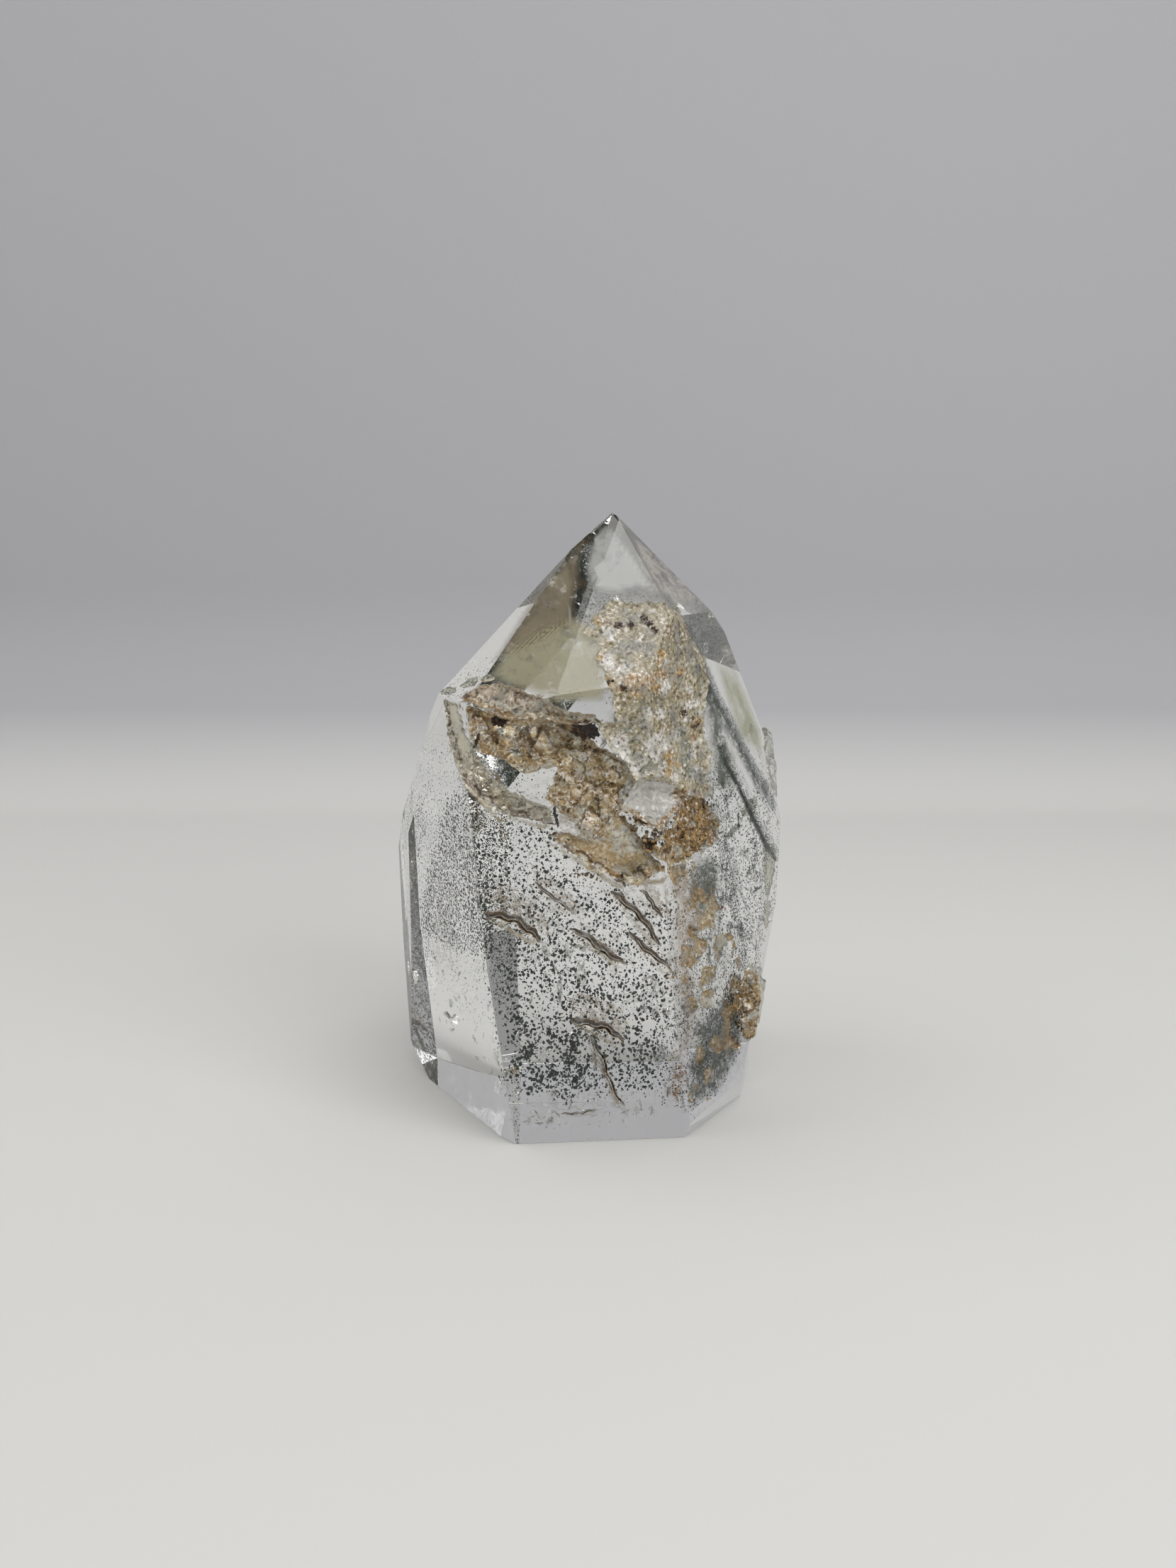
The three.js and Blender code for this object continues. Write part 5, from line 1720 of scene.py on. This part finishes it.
# name, view, outline, film, depth, thickness, flakes per mm2, smallest, largest
STREWN = [
    ("frost_point", FRONT, SKIN, "frosted_healed_crack", 0.9, 0.9, 1.3, 0.4, 1.2),
    ("flakes_point", FRONT, SKIN, "air_crack", 0.9, 2.0, 0.9, 0.3, 1.1),
    ("flakes_clay_point", FRONT, SKIN, "clay_film", 0.9, 0.8, 0.7, 0.3, 0.9),
    ("flakes_green_right", RIGHT, RIGHT_FIELD, "chlorite_dust_film", 0.8, 5.0, 0.35, 0.4, 1.5),
    ("flakes_right", RIGHT, RIGHT_FIELD, "air_crack", 0.8, 6.0, 0.35, 0.3, 1.1),
    ("flakes_lower_body", FRONT, LOWER_BODY, "air_crack", 2.0, 10.0, 0.10, 0.3, 1.2),
    ("frost_lower_body", FRONT, LOWER_BODY, "frosted_healed_crack", 2.0, 9.0, 0.10, 0.4, 1.6),
    ("flakes_base", FRONT, BASE_BAND, "air_crack", 0.5, 4.0, 1.8, 0.12, 0.50),
    ("frost_base", FRONT, BASE_BAND, "frosted_healed_crack", 0.5, 5.0, 0.35, 0.2, 0.7),
    ("flakes_left_low", LEFT, LEFT_LOW, "air_crack", 1.0, 6.0, 0.10, 0.3, 0.9),
    ("feathers_left", LEFT, LEFT_LOW, "chlorite_dust_film", 0.6, 3.0, 0.12, 0.3, 1.0),
    ("flakes_bay", FRONT, BAY, "air_crack", 5.4, 4.0, 0.6, 0.4, 1.2),
    ("flakes_ledge", FRONT, LEDGE, "clay_film", 2.6, 3.0, 0.7, 0.4, 1.1),
    ("flakes_crag", FRONT, CRAG, "air_crack", 2.8, 4.0, 0.8, 0.3, 1.1),
]
for count, (name, view, outline, film, depth, thickness, per_mm2, smallest, largest) in enumerate(STREWN):
    grown(sheet_under(name, view, [outline], depth, fade=0.8), FLAKES, FILMS[film], Grains_per_mm2=per_mm2,
          Smallest=smallest, Largest=largest, Thickness=thickness, Seed=90 + count)

# %% [markdown]
# ## Cracks behind the crevices, and large veils
# Every crevice but the small one at the foot goes on into the stone as a crack that nobody sees until it
# catches the light. A few large healed cracks cross the body, bent like shells.

# %% Cracks and large veils
CRACK_REACH = 3.5  # mm that a crack goes on behind its crevice


def crack_behind(name, start, end, width, depth, lean, material):
    """A thin bent sheet that carries a crevice on into the stone and narrows on its way."""
    (x0, z0), (x1, z1) = start, end
    along, inward = np.meshgrid(np.linspace(-1, 1, 15), np.linspace(0, 1, 9))
    half = 1.15 * np.sqrt(np.clip(1.05 - inward ** 2, 0, 1))
    wander = 0.35 * ripple(along * 6, inward * 6, 3.1)
    deep = 0.3 * depth + CRACK_REACH * inward
    across = (x0 + x1) / 2 + (x1 - x0) / 2 * along * half
    height = (z0 + z1) / 2 + (z1 - z0) / 2 * along * half + math.tan(math.radians(lean)) * deep + wander
    made = object_from(name, FRONT.place(across, height, deep).reshape(-1, 3), grid_faces(15, 9))
    return set_in(made, material)


def shell_veil(name, centre, azimuth, tilt, half_width, half_height, bend, seed, material):
    """A veil bent like a shell, at a centre given in millimetres, facing azimuth and tilt."""
    normal = facing(azimuth, tilt)
    right = Vector((0, 0, 1)).cross(normal).normalized()
    up = normal.cross(right)
    points, faces = [], []
    rings, spokes = 8, 28
    for ring in range(rings + 1):
        for spoke in range(spokes):
            turn = 2 * math.pi * spoke / spokes
            lobe = 1 + 0.22 * math.sin(3 * turn + seed) + 0.12 * math.sin(7 * turn + 2 * seed)
            r = ring / rings * lobe
            x, z = r * half_width * math.cos(turn), r * half_height * math.sin(turn)
            sag = bend * r * r + 0.25 * math.sin(1.3 * x + seed) * math.cos(1.1 * z)
            points.append((Vector(centre) + right * x + up * z + normal * sag) * MM)
    for ring in range(rings):
        for spoke in range(spokes):
            a, b = ring * spokes + spoke, ring * spokes + (spoke + 1) % spokes
            faces.append((a, b, b + spokes, a + spokes))
    fading = 1 - (np.arange(rings + 1) / rings) ** 3
    made = write_values(object_from(name, points, faces), "presence", np.repeat(fading, spokes))
    return set_in(made, material)


for count, crevice in enumerate(CREVICES[:-1]):
    film = FILMS["air_crack" if count % 2 else "clay_film"]
    crack_behind(f"crack_{count}", *crevice, material=film)
# centre, azimuth, tilt, half width, half height, bend, film
SHELLS = [
    ((-4.0, -13.0, 27.0), 10, 55, 4.5, 3.5, 0.8, "healed_crack"),
    ((-6.0, -14.0, 10.0), -10, 30, 4.5, 2.6, 0.8, "healed_crack"),
    ((5.0, -10.0, 16.0), 30, -40, 5.0, 4.5, 1.2, "healed_crack"),
    ((6.5, -12.0, 52.0), 20, 10, 5.5, 7.5, 1.0, "healed_crack"),
    ((9.0, -8.0, 47.0), 45, 5, 4.0, 8.0, 1.5, "healed_crack"),
    ((2.0, -4.0, 40.0), 0, 60, 8.0, 6.0, 1.5, "healed_crack"),
    ((-12.0, 2.0, 24.0), -70, 15, 5.0, 8.0, 1.4, "healed_crack"),
    ((4.0, 12.0, 30.0), 170, 12, 8.0, 9.0, 1.6, "healed_crack"),
    ((14.0, 6.0, 28.0), 110, 20, 5.0, 9.0, 1.2, "chlorite_dust_veil"),
    ((-8.0, 10.0, 20.0), -140, -20, 6.0, 6.0, 1.4, "healed_crack"),
    ((14.0, -5.0, 22.0), 60, 0, 3.5, 9.0, 0.8, "chlorite_dust_veil"),
    ((0.0, -13.0, 3.5), 0, 60, 7.0, 2.0, 0.6, "healed_crack"),
    ((-15.5, -6.0, 11.0), -30, 60, 2.0, 1.4, 0.3, "air_crack"),
    ((9.0, -13.0, 40.5), 20, 20, 3.0, 2.6, 0.5, "air_crack"),
]
for count, (centre, azimuth, tilt, half_width, half_height, bend, film) in enumerate(SHELLS):
    shell_veil(f"veil_{count}", centre, azimuth, tilt, half_width, half_height, bend, count, FILMS[film])
print("cracks and veils set")

# %% [markdown]
# ## Zones and soft lines
# Where the quartz grew milky, smoky, frosted or stained, a film under an outline makes it so. Narrow
# ribbons of film along the phantom lines draw their grains together, and a film of clay lies on the lips.

# %% Zones and soft lines
SMOKY = [(-0.2, 71.6), (-6.1, 64.6), (-11.2, 56.4), (-8.0, 57.6), (-3.4, 60.0), (-1.6, 61.0), (-1.0, 66.5)]
PALE_FRONT = [
    (-11.4, 55), (-9, 58.6), (-4.6, 61.4), (-1.2, 62), (1.8, 60), (2.6, 56.4), (2, 52.4),
    (-3, 52.4), (-8, 53.8),
]
PALE_TOP = [
    (1, 71.5), (2.4, 72.8), (3.6, 72), (8.2, 64.8), (6, 65.4), (3.5, 64.6), (0.6, 65.2), (-0.2, 67.5),
]
TOP_RIGHT = [(0.0, 71.6), (-1.4, 69.0), (-2.2, 64.8), (0.8, 62.8), (8.8, 63.2), (8.6, 66.2), (4.8, 69.0)]
STRAW = [(7.3, 56.4), (14.6, 55.2), (19.6, 46.8), (18.0, 42.7), (10.5, 45.2)]
# name, view, outline, depth, how far its presence fades, film
for name, view, outline, depth, fade, film in (
    ("vein_film_0", RIGHT, VEIN, 0.7, 1.2, "stained_healed_crack"),
    ("vein_film_1", RIGHT, VEIN, 2.0, 1.2, "stained_healed_crack"),
    ("smoky_zone", FRONT, SMOKY, 1.0, 1.0, "smoky_quartz_zone"),
    ("milky_zone_top", FRONT, PALE_TOP, 0.9, 0.5, "frosted_quartz_zone"),
    ("milky_zone_skin", FRONT, SKIN, 2.2, 1.2, "milky_quartz_zone"),
    ("straw_zone", RIGHT, STRAW, 1.0, 2.2, "iron_tinted_zone"),
    ("milky_zone_right", RIGHT, TOP_RIGHT, 1.0, 1.2, "milky_quartz_zone"),
    ("pale_zone_front", FRONT, PALE_FRONT, 1.0, 0.8, "pale_quartz_zone"),
    ("haze_right", FRONT, HAZE_RIGHT, 0.9, 1.0, "chlorite_haze_zone"),
    ("haze_right_low", RIGHT, RIGHT_LOW_FIELD, 1.4, 1.5, "chlorite_haze_zone"),
    ("haze_streak_0", RIGHT, GREEN_STREAKS[0], 1.1, 1.0, "chlorite_haze_zone"),
    ("haze_streak_2", RIGHT, GREEN_STREAKS[2], 1.1, 1.0, "chlorite_haze_zone"),
):
    set_in(sheet_under(name, view, [outline], depth, step=0.5, fade=fade), FILMS[film])


def soft_line(name, view, line, width, depth, material):
    """A ribbon of film under the polish along a line, densest down its middle."""
    line = np.array(line, float)
    spans = np.concatenate([[0], np.cumsum(np.linalg.norm(np.diff(line, axis=0), axis=1))])
    places = np.linspace(0, spans[-1], 60)
    middle = np.column_stack([np.interp(places, spans, line[:, k]) for k in (0, 1)])
    ways = np.gradient(middle, axis=0)
    ways /= np.linalg.norm(ways, axis=1)[:, None]
    levels = np.linspace(-1, 1, 7)
    shares = np.minimum(1, 6 * np.minimum(places, spans[-1] - places) / spans[-1])
    reach = 0.5 * width * (0.35 + 0.65 * shares)
    across = middle[:, 0, None] - ways[:, 1, None] * reach[:, None] * levels
    height = middle[:, 1, None] + ways[:, 0, None] * reach[:, None] * levels
    points = view.place(across, height, depth).reshape(-1, 3)
    made = object_from(name, points, grid_faces(len(levels), len(places)))
    write_values(made, "presence", (shares[:, None] * (1 - levels ** 2)).ravel())
    return set_in(made, material)


soft_line("phantom_sharp_film", RIGHT, SHARP_LINE, 1.1, 0.7, FILMS["chlorite_dust_line"])
soft_line("phantom_fuzzy_film", RIGHT, FUZZY_LINE, 2.2, 0.8, FILMS["chlorite_haze_line"])
set_in(sheet_under("lip_film", FRONT, LIPS, 0.12, step=0.2, sway=0.0, fade=0.25), FILMS["clay_film_at_lip"])
print("zones and soft lines set")

# %% [markdown]
# ## Floor and backdrop
# Clear stone shows mostly what is around it, so the surroundings are part of the look: a pale floor of
# matt paper that curves up into a backdrop, darker up the wall. The darker wall draws the facets' edges.

# %% Floor and backdrop
FLOOR_GAP = 0.03 * MM  # keeps the paper and the stone's base from lying in one plane


def sweep():
    """A floor that bends up into a backdrop behind the stone."""
    half_width, front, bend_at, radius, top = 1.2, -0.6, 0.19, 0.07, 0.62
    profile = [(front, 0.0), (bend_at, 0.0)]
    for k in range(1, 17):
        turn = math.radians(90 * k / 16)
        profile.append((bend_at + radius * math.sin(turn), radius - radius * math.cos(turn)))
    profile.append((bend_at + radius, top))
    points = [(x, y, z - FLOOR_GAP) for y, z in profile for x in (-half_width, half_width)]
    faces = [(2 * k, 2 * k + 1, 2 * k + 3, 2 * k + 2) for k in range(len(profile) - 1)]
    return object_from("sweep", points, faces)


def paper():
    """Matt background paper: pale on the table, and darker up the wall as it falls away from the light."""
    material, tree, place = new_material("background_paper")
    up = add(tree, "ShaderNodeSeparateXYZ", [place]).outputs["Z"]
    share = add(tree, "ShaderNodeMapRange", [up, 0.001, 0.028])
    tone = add(tree, "ShaderNodeMix", {"Factor": share, "A": paint("#D3D2CE"), "B": paint("#AEAEB1")},
               data_type="RGBA")
    tooth = add(tree, "ShaderNodeTexNoise", {"Vector": place, "Scale": pattern(0.8), "Detail": 2})
    bump = add(tree, "ShaderNodeBump", {"Height": tooth, "Strength": 0.1, "Distance": 0.05 * MM})
    shader = add(tree, "ShaderNodeBsdfPrincipled", {"Base Color": tone, "Roughness": 0.75, "Normal": bump})
    add(tree, "ShaderNodeOutputMaterial", [shader])
    return material


floor = sweep()
floor.data.materials.append(paper())
print("floor and backdrop ready")

# %% [markdown]
# ## Lights
# A large soft window stands above and behind on the left, and a weak fill at the right. A small window
# high in front is there for the tip, whose front facet mirrors it, and a soft light overhead evens out the
# floor. The sky is plain, brighter above than at the sides.

# %% Lights
AIM = Vector((0, 0, 0.03))
# name, place, width, height, watts
for name, place, width, height, watts in (
    ("window_left", (-0.45, 0.05, 0.5), 0.8, 0.6, 1.8),
    ("window_front", (0.17, -0.24, 0.5), 0.36, 0.36, 1.1),
    ("fill_right", (0.42, -0.42, 0.30), 0.4, 0.4, 1.5),
    ("top", (0.05, 0.1, 0.7), 0.5, 0.5, 0.6),
):
    light = bpy.data.lights.new(name, "AREA")
    light.shape = "RECTANGLE"
    light.size, light.size_y = width, height
    light.energy = watts
    lamp = added(name, light)
    lamp.location = place
    lamp.rotation_euler = (AIM - lamp.location).to_track_quat("-Z", "Y").to_euler()
world = bpy.data.worlds.new("studio")
world.use_nodes = True
sky = world.node_tree
sky.nodes.clear()
way = add(sky, "ShaderNodeTexCoord").outputs["Generated"]
up = add(sky, "ShaderNodeSeparateXYZ", [way]).outputs["Z"]
tones = add(sky, "ShaderNodeValToRGB", [up])
for stop, (height, colour) in zip(tones.color_ramp.elements, ((0.0, "#D0D0D0"), (0.75, "#F2F3F5"))):
    stop.position = height
    stop.color = paint(colour)
add(sky, "ShaderNodeOutputWorld", [add(sky, "ShaderNodeBackground", [tones, 0.40])])
bpy.context.scene.world = world
print("lights ready")

# %% [markdown]
# ## Render settings that belong to the stone
# Light crosses many surfaces in a faceted clear stone before it comes out, so the paths are allowed to
# be long. Denoising clears what grain is left.

# %% Light paths
cycles = bpy.context.scene.cycles
cycles.max_bounces = 28
cycles.transmission_bounces = 28
cycles.transparent_max_bounces = 32
cycles.diffuse_bounces = 3
cycles.glossy_bounces = 8
cycles.sample_clamp_indirect = 8
cycles.caustics_refractive = True
cycles.caustics_reflective = True
cycles.use_denoising = True
bpy.context.scene.view_settings.view_transform = "Standard"
print("paths up to", cycles.max_bounces, "bounces")
